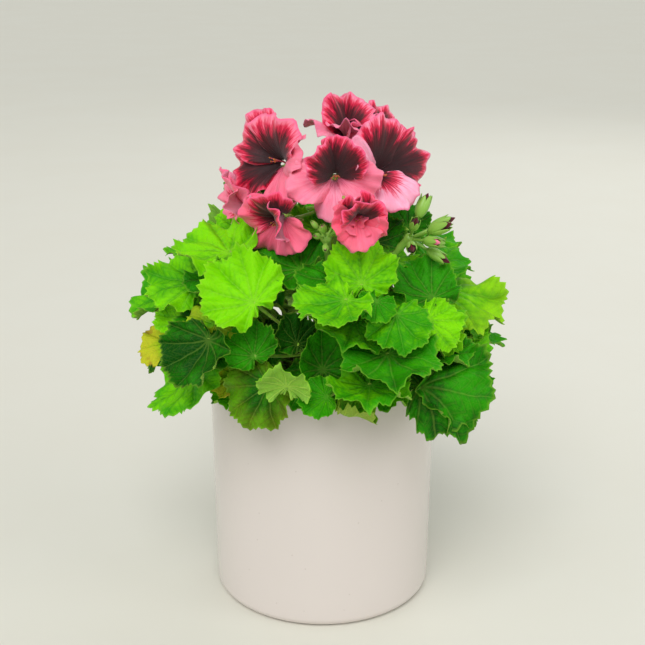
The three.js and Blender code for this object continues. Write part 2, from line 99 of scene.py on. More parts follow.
def piece(name, patches, materials, stands_for=()):
    """Puts the patches into one mesh object that rides on the body and stands for CAD nodes."""
    starts = np.cumsum([0] + [len(p["points"]) for p in patches])[:-1]
    loops, sizes, slots = [], [], []
    for start, p in zip(starts, patches):
        for faces in (p["quads"], p["tris"]):
            loops.append((faces + start).ravel())
            sizes.append(np.full(len(faces), faces.shape[1]))
            slots.append(np.broadcast_to(p["material"], len(faces)) if np.ndim(p["material"]) == 0 else
                         p["material"][:len(faces)] if faces is p["quads"] else p["material"][-len(faces):]
                         if len(faces) else np.zeros(0, int))
    loops, sizes, slots = (np.concatenate(x).astype(np.int32) for x in (loops, sizes, slots))
    points = np.concatenate([p["points"] for p in patches])
    mesh = bpy.data.meshes.new(name)
    mesh.vertices.add(len(points))
    mesh.vertices.foreach_set("co", points.astype(np.float32).ravel())
    mesh.loops.add(len(loops))
    mesh.loops.foreach_set("vertex_index", loops)
    mesh.polygons.add(len(sizes))
    mesh.polygons.foreach_set("loop_start", (np.cumsum(sizes) - sizes).astype(np.int32))
    mesh.polygons.foreach_set("material_index", slots)
    mesh.update(calc_edges=True)
    uv = np.concatenate([p["uv"] for p in patches])[loops]
    mesh.uv_layers.new(name="surface").data.foreach_set("uv", uv.astype(np.float32).ravel())
    shade = np.concatenate([p["shade"] for p in patches]).astype(np.float32)
    mesh.attributes.new("shade", "FLOAT_COLOR", "POINT").data.foreach_set("color", shade.ravel())
    mesh.shade_smooth()
    for material in materials:
        mesh.materials.append(material)
    if mesh.validate():
        raise RuntimeError(name + " has faces that Blender can't use")
    made = bpy.data.objects.new(name, mesh)
    bpy.context.scene.collection.objects.link(made)
    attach(made, BODY)
    if stands_for:
        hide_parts(*stands_for)
    return made


def unit(v):
    """v over its own length."""
    return v / np.maximum(np.linalg.norm(v, axis=-1, keepdims=True), 1e-12)


def seeded(name):
    """A random generator that depends only on a piece's name."""
    return np.random.default_rng(zlib.crc32(name.encode()))


def along(bearing, elevation=0.0):
    """Unit vector from a bearing, from the front towards the right, and an elevation, in degrees."""
    b, e = np.radians(bearing), np.radians(elevation)
    return np.stack([np.cos(e) * np.sin(b), -np.cos(e) * np.cos(b), np.sin(e) * np.ones_like(b)], -1)


def curve_through(knots, steps):
    """Points on the smooth curve through the knots: a Catmull-Rom cubic with its end knots doubled."""
    k = np.vstack([2 * knots[0] - knots[1], knots, 2 * knots[-1] - knots[-2]])
    t = np.linspace(0, len(knots) - 1, steps)
    i = np.minimum(t.astype(int), len(knots) - 2)
    f = (t - i)[:, None]
    a, b, c, d = k[i], k[i + 1], k[i + 2], k[i + 3]
    return b + 0.5 * f * (c - a + f * (2 * a - 5 * b + 4 * c - d + f * (3 * (b - c) + d - a)))


def tube(path, radius, sides=10, material=0, shade=None):
    """A round profile carried along a path: point = path + radius (cos a across + sin a aside), with both
    ends closed on a pole. The radius may change along the path."""
    path = np.asarray(path, float)
    radius = np.broadcast_to(radius, len(path))
    way = unit(np.gradient(path, axis=0))
    start = np.eye(3)[np.argmin(np.abs(way.mean(0)))]
    across = unit(start - way * (way @ start)[:, None])
    aside = np.cross(way, across)
    a = np.linspace(0, 2 * np.pi, sides, endpoint=False)
    spin = np.cos(a)[None, :, None] * across[:, None] + np.sin(a)[None, :, None] * aside[:, None]
    ring = path[:, None] + radius[:, None, None] * spin
    points = np.vstack([ring.reshape(-1, 3), path[:1], path[-1:]])
    quads = grid_faces(len(path), sides, wrap=True)[:, ::-1]
    first, last = np.arange(sides), np.arange(sides) + (len(path) - 1) * sides
    tris = np.vstack([fan_faces(len(points) - 2, first, False), fan_faces(len(points) - 1, last)])
    uv = np.meshgrid(np.linspace(0, 1, len(path)), a / (2 * np.pi), indexing="ij")
    uv = np.stack(uv, -1).reshape(-1, 2)
    uv = np.vstack([uv, uv[:1], uv[-1:]])
    tint = None if shade is None else np.tile(shade, (len(points), 1))
    return patch(points, quads, tris, material, uv, tint)


def turned(profile, sides, material=0):
    """A profile of (radius, height) points turned about +Z, with a pole at each end. The profile runs from
    the bottom's centre round the outside."""
    profile = np.asarray(profile, float)
    a = np.linspace(0, 2 * np.pi, sides, endpoint=False)
    r, z = profile[1:-1, 0], profile[1:-1, 1]
    ring = np.stack([np.outer(r, np.cos(a)), np.outer(r, np.sin(a)), np.outer(z, np.ones(sides))], -1)
    points = np.vstack([ring.reshape(-1, 3), [[0, 0, profile[0, 1]], [0, 0, profile[-1, 1]]]])
    quads = grid_faces(len(r), sides, wrap=True)[:, ::-1]
    last = np.arange(sides) + (len(r) - 1) * sides
    tris = np.vstack([fan_faces(len(points) - 2, np.arange(sides), False), fan_faces(len(points) - 1, last)])
    return patch(points, quads, tris, material)


def sheet(top, thickness, uv, shade, materials=(0, 1)):
    """A thin closed sheet from an open grid of points: the under side is the top moved back along its own
    normal, and four strips close the edge."""
    rows, columns = top.shape[:2]
    normal = unit(np.cross(np.gradient(top, axis=0), np.gradient(top, axis=1)))
    under = top - thickness * normal
    count = rows * columns
    upper = grid_faces(rows, columns)
    index = np.arange(count).reshape(rows, columns)
    edge = np.concatenate([index[0, :-1], index[:-1, -1], index[-1, :0:-1], index[:0:-1, 0]])
    after = np.roll(edge, -1)
    strip = np.stack([edge, after, after + count, edge + count], -1)
    quads = np.vstack([upper, (upper + count)[:, ::-1], strip])
    slots = np.repeat([materials[0], materials[1], materials[0]], [len(upper), len(upper), len(strip)])
    return patch(np.vstack([top.reshape(-1, 3), under.reshape(-1, 3)]), quads, None, slots,
                 np.vstack([uv.reshape(-1, 2)] * 2), np.vstack([shade.reshape(-1, 4)] * 2))


# ---------------------------------------------------------------- cages of the CAD blades
def read_cage(node):
    """The cage of a blade on its stalk. The hub is the corner that most triangles share, and each further
    step over the mesh gives the next ring: inner, outer, outer under, inner under, the stalk's loops and
    its foot."""
    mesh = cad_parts[node].data
    co = np.empty(len(mesh.vertices) * 3, np.float32)
    mesh.vertices.foreach_get("co", co)
    tri = np.empty(len(mesh.loops), np.int32)
    mesh.loops.foreach_get("vertex_index", tri)
    keys, same = np.unique(np.round(co.reshape(-1, 3) * 1e6).astype(int), axis=0, return_inverse=True)
    points = keys / 1e6
    tri = same.ravel()[tri].reshape(-1, 3)
    pairs = np.vstack([tri[:, [0, 1]], tri[:, [1, 2]], tri[:, [2, 0]]])
    pairs = np.vstack([pairs, pairs[:, ::-1]])
    hub = np.argmax(np.bincount(tri.ravel()))
    level = np.full(len(points), -1)
    level[hub] = 0
    for step in range(1, len(points)):
        near = pairs[level[pairs[:, 0]] == step - 1, 1]
        near = near[level[near] < 0]
        if not len(near):
            break
        level[near] = step
    rings = [points[level == k] for k in range(level.max() + 1)]
    if [len(r) for r in rings[:5]] != [1] + [SPOKES] * 4:
        raise RuntimeError("the cage of " + node + " can't be read")
    normal = unit(rings[2].mean(0) - rings[3].mean(0))
    length = np.linalg.norm(rings[2] - rings[0], axis=1)
    notch = rings[2][np.argmin(length)] - rings[0][0]
    midrib = unit(normal * (notch @ normal) - notch)
    side = np.cross(normal, midrib)

    def in_order(ring):
        away = ring - rings[0]
        turn = np.round(np.arctan2(away @ side, away @ midrib) / (2 * np.pi) * SPOKES).astype(int) % SPOKES
        ordered = np.empty_like(away)
        ordered[turn] = away
        return ordered

    return {
        "hub": rings[0][0], "normal": normal, "midrib": midrib, "side": side,
        "inner": in_order(rings[1]), "outer": in_order(rings[2]),
        "length": length.max(), "stalk": np.array([r.mean(0) for r in rings[5:]]),
    }


def made_cage(hub, bearing, elevation, turn, length, cup, fold, root):
    """A cage for a leaf that has no CAD node: a fan of a given length that looks along a bearing and
    elevation, with its midrib turned from straight down, cupped as r squared and folded as r |sin angle|."""
    normal = along(bearing, elevation)
    down, left = along(bearing, elevation - 90), along(bearing - 90)
    midrib = down * math.cos(math.radians(turn)) + left * math.sin(math.radians(turn))
    side = np.cross(normal, midrib)
    angle = np.arange(SPOKES) * 2 * np.pi / SPOKES

    def ring(share):
        r = share * fan_outline(angle)
        rise = cup * r * r + fold * r * np.abs(np.sin(angle)) * share
        flat = np.sqrt(np.maximum(r * r - rise * rise, 0.09 * r * r))
        return length * (np.outer(flat * np.cos(angle), midrib) + np.outer(flat * np.sin(angle), side)
                         + np.outer(rise, normal))

    below = hub - 0.24 * length * normal
    stalk = np.array([hub - 0.002 * normal, below, (below + root) / 2 + (0, 0, -0.004), root])
    return {"hub": hub, "normal": normal, "midrib": midrib, "side": side, "inner": ring(INNER_SHARE),
            "outer": ring(1.0), "length": length, "stalk": stalk}


def full_outline(angle):
    """The leaf's real outline, rounder at its foot: 0.1 + 0.9 ((1 + cos angle) / 2) to the power 0.55."""
    return 0.1 + 0.9 * (0.5 + 0.5 * np.cos(angle)) ** 0.55


def fan_outline(angle):
    """The leaf's outline in the CAD: 0.14 + 0.86 ((1 + cos angle) / 2) to the power 0.75."""
    return 0.14 + 0.86 * (0.5 + 0.5 * np.cos(angle)) ** 0.75


def round_cage(ring, angle):
    """A closed smooth curve through the cage's spokes: Catmull-Rom in the angle."""
    t = (angle / (2 * np.pi) * SPOKES) % SPOKES
    i = t.astype(int) % SPOKES
    f = (t - np.floor(t))[:, None]
    a, b, c, d = (ring[(i + k) % SPOKES] for k in (-1, 0, 1, 2))
    return b + 0.5 * f * (c - a + f * (2 * a - 5 * b + 4 * c - d + f * (3 * (b - c) + d - a)))


# ---------------------------------------------------------------- leaves
RINGS = np.array([0.1, 0.22, 0.34, 0.46, 0.57, 0.67, 0.76, 0.84, 0.9, 0.945, 0.98, 1.0])
TOOTH_STEPS = 6  # points along each tooth of a leaf's edge


def leaf_patches(cage, rng, settings, tone, age=0.0, spot=0.0, fine=1.0):
    """A toothed, pleated leaf over its cage.

    Point = hub + c1 p + c2 p squared, where the two vectors carry the smooth cage through its rings. The
    share p grows at the edge by teeth, a triangle wave of the distance run along the edge, and by lobes, a
    cosine with one wave for each main vein. Along the blade's normal come pleats, |sin| between the main
    veins, a ruffle that grows as p cubed, and broad waves from a few random sines."""
    teeth = max(12, int(round(settings.teeth * fine * min(1.2, cage["length"] / 0.03) ** 0.6)))
    count = teeth * TOOTH_STEPS
    dense = np.linspace(-np.pi, np.pi, 2000)
    outline = full_outline(dense)
    run = np.hypot(np.gradient(outline), outline * (dense[1] - dense[0]))
    run = (np.cumsum(run) - run[0]) / (run.sum() - run[0])
    angle = np.interp(np.arange(count) / count, run, dense)

    wave = (np.arange(count) % TOOTH_STEPS) / TOOTH_STEPS
    tooth = 1 - np.abs(2 * wave - 1) ** 0.9
    size = np.repeat(rng.uniform(0.65, 1.2, teeth), TOOTH_STEPS)
    spread = settings.vein_spread
    fuller = full_outline(angle) / fan_outline(angle)
    lobes = 0.045 * np.cos(2 * np.pi * angle / spread)
    reach = fuller * (1 + lobes + settings.tooth_depth * size * (tooth - 0.5))

    p = RINGS[:, None] * (1 + (reach - 1)[None] * RINGS[:, None] ** 3)
    inner, outer = round_cage(cage["inner"], angle), round_cage(cage["outer"], angle)
    c2 = (INNER_SHARE * outer - inner) / (INNER_SHARE - INNER_SHARE ** 2)
    c1 = outer - c2
    top = cage["hub"] + c1[None] * p[..., None] + c2[None] * p[..., None] ** 2

    length = cage["length"]
    r = p * fan_outline(angle)[None]
    pleat = (np.abs(np.sin(np.pi * angle / spread)) - 0.6)[None] * r ** 1.1
    phase = rng.uniform(0, 2 * np.pi, 8)
    waves = rng.integers(5, 9)
    edge_wave = np.sin(waves * angle + phase[0]) + 0.5 * np.sin((2 * waves + 3) * angle + phase[1])
    ruffle = p ** 3 * edge_wave[None]
    x, y = r * np.cos(angle), r * np.sin(angle)
    billow = (np.sin(5 * x + 3 * y + phase[2]) * np.sin(4 * y - 2 * x + phase[3]) * r
              + 0.35 * np.sin(13 * x + phase[4]) * np.sin(12 * y + phase[5]) * r)
    lift = length * (settings.pleat * pleat + settings.ruffle * ruffle + 0.11 * billow)
    top = top + lift[..., None] * cage["normal"]

    across = np.roll(top, -1, 1) - np.roll(top, 1, 1)
    normal = unit(np.cross(np.gradient(top, axis=0), across))
    thickness = settings.thickness * (1 - 0.4 * RINGS[:, None] ** 2)
    under = top - thickness[..., None] * normal
    rings = len(RINGS)
    points = np.vstack([top.reshape(-1, 3), under.reshape(-1, 3), cage["hub"][None],
                        (cage["hub"] - settings.thickness * cage["normal"])[None]])
    n = rings * count
    upper = grid_faces(rings, count, wrap=True)
    lower = (upper + n)[:, ::-1]
    edge = np.arange(count) + (rings - 1) * count
    rim = np.stack([edge, edge + n, np.roll(edge, -1) + n, np.roll(edge, -1)], -1)
    quads = np.vstack([upper, rim, lower])
    first = np.arange(count)
    tris = np.vstack([fan_faces(2 * n, first), fan_faces(2 * n + 1, first + n, False)])
    slots = np.concatenate([np.zeros(len(upper) + len(rim), int), np.ones(len(lower), int)])
    tri_slots = np.repeat([0, 1], count)
    flat = np.stack([x, y], -1).reshape(-1, 2) / 3 + 0.5
    uv = np.vstack([flat, flat, [[0.5, 0.5]] * 2])
    side = np.stack([np.full(n, tone), np.repeat(RINGS, count), np.full(n, age), np.ones(n)], -1)
    side = np.tile(side, (2, 1))
    side[:, 3] = 1 - spot
    hubs = [[tone, 0, age, 1 - spot]] * 2
    blade = patch(points, quads, tris, np.concatenate([slots, tri_slots]), uv, np.vstack([side, hubs]))

    knots = cage["stalk"].copy()
    knots[0] = cage["hub"] - 0.0003 * cage["normal"]
    if len(knots) > 5:
        knots = np.vstack([knots[:1], knots[2:]])
    out = unit(knots[-1] - knots[-2])
    path = curve_through(np.vstack([knots, knots[-1] + 0.0022 * out]), 26)
    radius = np.linspace(0.75, 1.05, 26) * settings.stalk_radius
    radius = radius * (1 + 0.5 * np.exp(-np.linspace(0, 12, 26)) + 0.35 * np.exp(-np.linspace(14, 0, 26)))
    stalk = tube(path, radius, 8, 2, (tone, 0.5, age, 1.0))
    return [blade, stalk]


# How bright each leaf's green is, 0 deep to 1 bright yellow-green, partly the leaf's own green and partly
# painted light and shade: leaves that lay in shade get deeper greens and lit leaves brighter ones; and how
# far each leaf has aged.
LEAF_GREEN_AND_SHADE = {
    "leaf_01": 0.95, "leaf_02": 0.8, "leaf_03": 0.55, "leaf_04": 0.4, "leaf_05": 0.3, "leaf_06": 0.2,
    "leaf_07": 0.35, "leaf_08": 0.6, "leaf_09": 0.05, "leaf_10": 0.2, "leaf_11": 0.7, "leaf_12": 0.3,
    "leaf_13": 0.85, "leaf_14": 0.35, "leaf_15": 0.75, "leaf_16": 0.75, "leaf_17": 0.6, "leaf_18": 0.5,
    "leaf_19": 0.7, "leaf_20": 0.85, "leaf_21": 0.35, "leaf_22": 0.3, "leaf_23": 0.75, "leaf_24": 0.7,
    "leaf_25": 0.6, "leaf_26": 0.8, "leaf_27": 0.1, "leaf_28": 0.08, "leaf_29": 0.55, "leaf_30": 0.25,
    "leaf_31": 0.25, "leaf_32": 0.2, "leaf_33": 0.5, "leaf_34": 0.7, "leaf_35": 0.35,
}
LEAF_AGES = {
    "leaf_24": 0.85, "leaf_25": 0.75, "leaf_08": 0.45, "leaf_16": 0.18, "leaf_07": 0.2, "leaf_10": 0.15,
}
LEAF_SPOTS = {"leaf_12": 1.0, "leaf_23": 0.5}

# Rows of leaves that fill the plant behind the modelled ones: height, reach, count, elevation, length, with
# lengths in metres and angles in degrees.
FILL_ROWS = [
    (0.146, 0.082, 9, 35, 0.034), (0.160, 0.062, 10, 45, 0.034), (0.172, 0.088, 11, 40, 0.034),
    (0.184, 0.058, 8, 55, 0.032), (0.196, 0.084, 11, 46, 0.033), (0.208, 0.052, 8, 60, 0.030),
    (0.218, 0.072, 10, 52, 0.031), (0.232, 0.050, 8, 60, 0.029), (0.243, 0.030, 5, 70, 0.024),
]


RIM_MARGIN = 0.01  # how far a filling leaf may hang below the cover pot's rim outside the wall
INSIDE_RADIUS = 0.064  # radius inside which it may hang lower


def fill_cages(standing, settings):
    """Cages of the leaves that fill the plant: rows round the axis, each tried with small random turns, and
    kept where its points stay clear of the pieces that stand already."""
    rng = seeded("fill")
    found = []
    for row, (height, reach, count, elevation, length) in enumerate(FILL_ROWS):
        for k in range(count):
            for _ in range(settings.fill_tries):
                bearing = 360 * (k + 0.5 * (row % 2)) / count + rng.uniform(-16, 16)
                size = length * rng.uniform(0.75, 1.1)
                hub = along(bearing) * reach * rng.uniform(0.86, 1.08)
                hub[2] = height + rng.uniform(-0.006, 0.006)
                root = along(bearing) * 0.02 + (0, 0, hub[2] - 0.03)
                looks, rises = bearing + rng.uniform(-22, 22), elevation + rng.uniform(-22, 18)
                turn, cup, fold = rng.uniform(-60, 60), rng.uniform(0.05, 0.25), rng.uniform(-0.1, 0.25)
                cage = made_cage(hub, looks, rises, turn, size, cup, fold, root)
                shares = np.array([0.35, 0.7, 1.0])[:, None, None]
                sample = (hub + (cage["outer"][None] * shares)).reshape(-1, 3)
                reaches_wall = np.hypot(sample[:, 0], sample[:, 1]).max() > INSIDE_RADIUS
                if sample[:, 2].min() < POT_HIGH.z - RIM_MARGIN and reaches_wall:
                    continue
                gap = np.sqrt(((sample[:, None] - standing[None]) ** 2).sum(-1)).min()
                if gap > settings.fill_gap:
                    found.append(cage)
                    standing = np.vstack([standing, sample])
                    break
    return found


# ---------------------------------------------------------------- flowers
# Each flower: [turn of its upper petals from straight up, dark share of its five petals, from the upper left
# clockwise, how pale the lower petals are, size, how far each petal lifts towards the viewer in degrees].
FLOWER_LOOKS = {
    "flower_1": (-20, (0.9, 0.8, 0.0, 0.05, 0.95), 0.35, 1.02, (8, 30, 10, -10, -8)),
    "flower_2": (0, (1.0, 1.0, 0.0, 0.0, 0.0), 0.55, 0.9, (34, 30, -4, -14, -8)),
    "flower_3": (44, (0.9, 1.0, 0.35, 0.0, 0.0), 0.95, 1.0, (4, -8, 8, -6, 10)),
    "flower_4": (10, (0.95, 0.9, 0.75, 0.3, 0.0), 0.7, 0.95, (34, 38, 26, 20, 4)),
    "flower_5": (25, (0.9, 1.0, 0.1, 0.0, 0.5), 0.1, 0.78, (22, 46, 6, -6, 0)),
    "flower_6": (0, (0.95, 0.95, 0.0, 0.0, 0.0), 0.12, 0.78, (42, 42, 26, 22, 26)),
    "flower_7": (-30, (0.5, 0.3, 0.1, 0.1, 0.35), 0.3, 0.85, (14, 10, 10, 0, 8)),
    "flower_8": (20, (0.95, 0.9, 0.7, 0.1, 0.4), 0.6, 0.95, (5, 5, 0, 0, 0)),
}
FLOWER_SINKS = {"flower_4": 0.009, "flower_8": 0.004}  # how much deeper a flower's throat sits on its stalk
PETAL_TURNS = (-36, 36, 106, 180, -106)  # where each petal points, clockwise from the upper pair's middle


def petal_patch(hub, normal, way, length, spread, cup, lift, rng, settings, shade, overlap=1.0,
                cells=(16, 44)):
    """A ruffled petal: a fan of half angle spread round its narrow foot.

    Its edge lies at length (cos(90 deg a / spread)) to the power 0.36, times small sines for the frill. A
    point at share p and angle a rises as a trumpet, cup (2 q - q squared) with q its distance over the
    length, leans by lift about its foot, and waves as p squared and p to the fourth times sines of the
    angle."""
    rows, columns = cells
    across = np.cross(normal, way)
    p = np.linspace(0.04, 1, rows)[:, None] ** 0.9
    a = np.linspace(-1, 1, columns)[None] * spread
    s = a / spread
    phase = rng.uniform(0, 2 * np.pi, 6)
    edge = 0.16 + 0.84 * np.cos(0.5 * np.pi * np.clip(np.abs(s), 0, 1)) ** 0.36
    frill = 1 + 0.03 * np.sin(7 * s + phase[0]) + 0.02 * np.sin(21 * s + phase[1])
    frill = frill + 0.012 * np.sin(37 * s + phase[5])
    r = length * p * (1 + (edge * frill - 1) * p ** 0.6)
    x, y = r * np.cos(a), r * np.sin(a)
    q = r / length
    rise = length * cup * (2 * q - q * q)
    tuck = np.sqrt(np.maximum(1 - (cup * (2 - 1.4 * q)) ** 2 * 0.45, 0.2))
    x, y = x * tuck, y * (0.4 + 0.6 * tuck)
    wave = settings.ruffle * length
    rise = rise + wave * p ** 2 * np.sin(3.4 * s + phase[2]) * 1.1
    rise = rise + wave * p ** 4 * (0.9 * np.sin(9 * s + phase[3]) + 0.55 * np.sin(19 * s + phase[4]))
    rise = rise + length * (0.05 * overlap * s * p - 0.10 * p ** 3 * s * s - 0.06 * p ** 5)
    tilt = math.radians(lift)
    x, rise = x * math.cos(tilt) - rise * math.sin(tilt), x * math.sin(tilt) + rise * math.cos(tilt)
    top = hub + x[..., None] * way + y[..., None] * across + rise[..., None] * normal
    uv = np.stack(np.broadcast_arrays(0.5 + 0.5 * s, p), -1)
    tint = np.empty(top.shape[:2] + (4,))
    tint[...] = shade
    tint[..., 1] = np.broadcast_to(p, tint.shape[:2])
    return sheet(top, settings.thickness, uv, tint)


SEPAL_LENGTH = 0.011
STAMENS = 7


def flower_patches(name, cage, settings):
    """A flower: five petals round the funnel, five sepals behind them, the flower's stalk, and seven
    stamens."""
    turn, dark, pale, size, lifts = FLOWER_LOOKS[name]
    rng = seeded(name)
    hub, normal = cage["hub"], cage["normal"]
    up = unit(np.array([0, 0, 1.0]) - normal * normal[2])
    left = np.cross(normal, up)
    rises = cage["outer"] @ normal / cage["length"]
    cup = float(np.clip(rises.mean() * 1.05, 0.3, 0.72))
    length = settings.petal_length * size

    def facing(degrees):
        a = math.radians(degrees)
        return math.cos(a) * up - math.sin(a) * left

    throat = hub - (0.003 + FLOWER_SINKS.get(name, 0)) * normal
    patches = []
    for k, petal_turn in enumerate(PETAL_TURNS):
        way = facing(turn + petal_turn + rng.uniform(-5, 5))
        upper = k < 2
        spread = math.radians(rng.uniform(60, 67) if upper else rng.uniform(56, 62))
        reach = length * (1.08 if upper else 1.0) * rng.uniform(0.95, 1.05)
        shade = (dark[k], 0, float(np.clip(pale + rng.uniform(-0.15, 0.15), 0, 1)), 1)
        start = throat + 0.0012 * way + (0.0003 * (k % 3)) * normal
        patches.append(petal_patch(start, normal, way, reach, spread, cup, lifts[k], rng, settings, shade))
    if name == "flower_6":
        for ring, (count, share, lean) in enumerate(((5, 0.86, 42), (4, 0.66, 58), (3, 0.45, 68))):
            for k in range(count):
                way = facing(180 + 360 * (k + 0.5 * ring) / count + rng.uniform(-8, 8))
                shade = (0.0, 0, float(rng.uniform(0.05, 0.3)), 1)
                patches.append(petal_patch(
                    throat + 0.001 * way, normal, way, length * share, math.radians(58), 0.3, lean, rng,
                    settings, shade, cells=(12, 28)))
    for k in range(5):
        way = facing(36 + 72 * k)
        sepal = petal_patch(throat - 0.0028 * normal, normal, way, SEPAL_LENGTH, math.radians(15), 0.3, -14,
                            rng, settings, (0.5, 0, 0, 1), cells=(8, 7))
        sepal["material"] = np.full_like(sepal["material"], 2)
        patches.append(sepal)
    knots = cage["stalk"].copy()
    knots[0] = throat
    out = unit(knots[-1] - knots[-2])
    path = curve_through(np.vstack([knots, knots[-1] + 0.002 * out]), 22)
    width = 0.00085 + 0.0011 * np.exp(-np.linspace(0, 5, 22))
    patches.append(tube(path, width, 8, 2, (0.5, 0.5, 0, 1)))
    for _ in range(STAMENS):
        lean = facing(180 + rng.uniform(-70, 70)) * rng.uniform(0.0015, 0.004)
        tip = throat + normal * rng.uniform(0.009, 0.013) + lean
        bend = throat + normal * 0.006 + 0.2 * lean
        stem = curve_through(np.array([throat, bend, tip]), 7)
        patches.append(tube(stem, np.linspace(0.0003, 0.0002, 7), 5, 3, (0.2, 0.5, 0, 1)))
        across = unit(np.cross(normal, lean) + 0.3 * normal)
        anther = tip + np.linspace(-0.5, 0.5, 5)[:, None] * (0.0018 * across)
        patches.append(tube(anther, 0.0005 * np.array([0.4, 0.9, 1, 0.9, 0.4]), 6, 3, (1.0, 0.5, 0, 1)))
    return patches


# ---------------------------------------------------------------- buds
# A full-size bud of the CAD: the knob at the middle of its cluster, its own stalk, its length and radius.
KNOB_RADIUS, BUD_STALK, BUD_LENGTH, BUD_RADIUS = 0.0034, 0.010, 0.012, 0.0031
UMBEL_RADIUS = 0.0021  # of the stalk that carries a whole cluster
HAIR_PLACES, HAIRS = 160, 90  # places round a bud that hairs may grow from, and the hairs drawn


def bud_axes(node):
    """The corners of a cluster, its middle, and the tips and directions of its buds. A bud's tip is a corner
    of eight triangles that look out from it evenly, and the lines back from all the tips meet at the
    middle."""
    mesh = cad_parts[node].data
    co = np.empty(len(mesh.vertices) * 3, np.float32)
    mesh.vertices.foreach_get("co", co)
    tri = np.empty(len(mesh.loops), np.int32)
    mesh.loops.foreach_get("vertex_index", tri)
    keys, same = np.unique(np.round(co.reshape(-1, 3) * 1e6).astype(int), axis=0, return_inverse=True)
    points = keys / 1e6
    tri = same.ravel()[tri].reshape(-1, 3)
    face = np.cross(points[tri[:, 1]] - points[tri[:, 0]], points[tri[:, 2]] - points[tri[:, 0]])
    normal = np.zeros_like(points)
    for corner in range(3):
        np.add.at(normal, tri[:, corner], face)
    normal = unit(normal)
    far = []
    for t in np.flatnonzero(np.bincount(tri.ravel()) == 8):
        away = points[np.unique(tri[(tri == t).any(1)])] - points[t]
        away = unit(away[np.linalg.norm(away, axis=1) > 1e-6])
        if (away @ normal[t]).max() < -0.4:
            far.append(t)
    a = sum(np.eye(3) - np.outer(normal[t], normal[t]) for t in far)
    b = sum((np.eye(3) - np.outer(normal[t], normal[t])) @ points[t] for t in far)
    centre = np.linalg.solve(a, b)
    good = [t for t in far if np.linalg.norm(np.cross(points[t] - centre, normal[t])) < 0.002
            and np.linalg.norm(points[t] - centre) > 0.008]
    return points, centre, points[good], unit(points[good] - centre)


def umbel_patch(points, centre, radius, knob):
    """A cluster's own stalk: a tube from the middle of its foot, the eight corners furthest from the
    cluster's middle, first along the way that the foot faces and then bowed to the middle, where it swells
    into a knob."""
    far = points[np.argsort(-np.linalg.norm(points - centre, axis=1))[:8]]
    foot = far.mean(0)
    way = np.linalg.svd(far - foot)[2][2]
    span = np.linalg.norm(centre - foot)
    knee = foot + 0.5 * span * way * np.sign(way @ (centre - foot))
    t = np.linspace(0, 1, 30)[:, None]
    path = (1 - t) ** 2 * foot + 2 * t * (1 - t) * knee + t ** 2 * centre
    lift = knob * np.cos(np.linspace(0.5, 0.06, 8) * np.pi)[:, None]
    path = np.vstack([path, centre + lift[1:] * unit(centre - knee)])
    ball = np.sqrt(np.maximum(knob ** 2 - ((path - centre) ** 2).sum(1), 0.0))
    stem = np.where(np.arange(len(path)) < 30, radius, 0.0)
    return tube(path, np.maximum(np.maximum(ball, stem), 0.0002), 14, 1, (0.8, 0.3, 0.0, 1.0))


def bud_patches(base, way, length, radius, openness, rng):
    """A bud: a twisted spindle of furled petals, with a radius of sin(pi t^0.85)^0.8 times
    1 + 0.1 cos 5(angle + 1.6 t), inside five pointed sepals that hug it and stand off at their tips."""
    start = np.eye(3)[np.argmin(np.abs(way))]
    x = unit(start - way * (way @ start))
    y = np.cross(way, x)
    t = np.linspace(0.02, 0.985, 18)[:, None]
    a = np.linspace(0, 2 * np.pi, 30, endpoint=False)[None]
    body = radius * np.sin(np.pi * t ** 0.85) ** 0.8
    r = 0.86 * body * (1 + 0.1 * np.cos(5 * (a + 1.6 * t)))
    core_length = length * (0.8 + 0.3 * openness)
    ring = (base + (core_length * t)[..., None] * way + (r * np.cos(a))[..., None] * x
            + (r * np.sin(a))[..., None] * y)
    points = np.vstack([ring.reshape(-1, 3), base[None], (base + core_length * way)[None]])
    quads = grid_faces(18, 30, wrap=True)[:, ::-1]
    tris = np.vstack([fan_faces(540, np.arange(30), False), fan_faces(541, np.arange(30) + 510)])
    uv = np.stack(np.broadcast_arrays(a / (2 * np.pi), t), -1).reshape(-1, 2)
    shade = np.tile((0.25 + 0.6 * (openness > 0.8), 0.6, 0.55, 1.0), (len(points), 1))
    patches = [patch(points, quads, tris, 0, np.vstack([uv, uv[:1], uv[-1:]]), shade)]
    for k in range(5):
        middle = 2 * np.pi * k / 5 + rng.uniform(-0.1, 0.1)
        s = np.linspace(-1, 1, 7)[None]
        u = np.linspace(0.0, 1.0, 14)[:, None]
        half = 0.86 * np.sqrt(np.maximum(1 - u ** 2.2, 0.0004))
        angle = middle + half * s
        out = radius * (np.sin(np.pi * np.minimum(0.04 + 0.86 * u, 0.93) ** 0.85) ** 0.8 + 0.12)
        out = out + radius * (0.05 + 0.5 * openness * rng.uniform(0.6, 1.2)) * u ** 4 - 0.1 * radius * s * s
        along_bud = length * u * rng.uniform(0.9, 1.05)
        top = (base + along_bud[..., None] * way + (out * np.cos(angle))[..., None] * x
               + (out * np.sin(angle))[..., None] * y)
        tint = np.empty(top.shape[:2] + (4,))
        tint[..., 0], tint[..., 1] = 0.8, np.maximum(np.abs(s), u ** 3)
        tint[..., 2], tint[..., 3] = 0.0, 1.0
        uvs = np.stack(np.broadcast_arrays(0.5 + 0.5 * s, u), -1)
        patches.append(sheet(top[:, ::-1], 0.0003, uvs[:, ::-1], tint[:, ::-1], (1, 1)))
    return patches


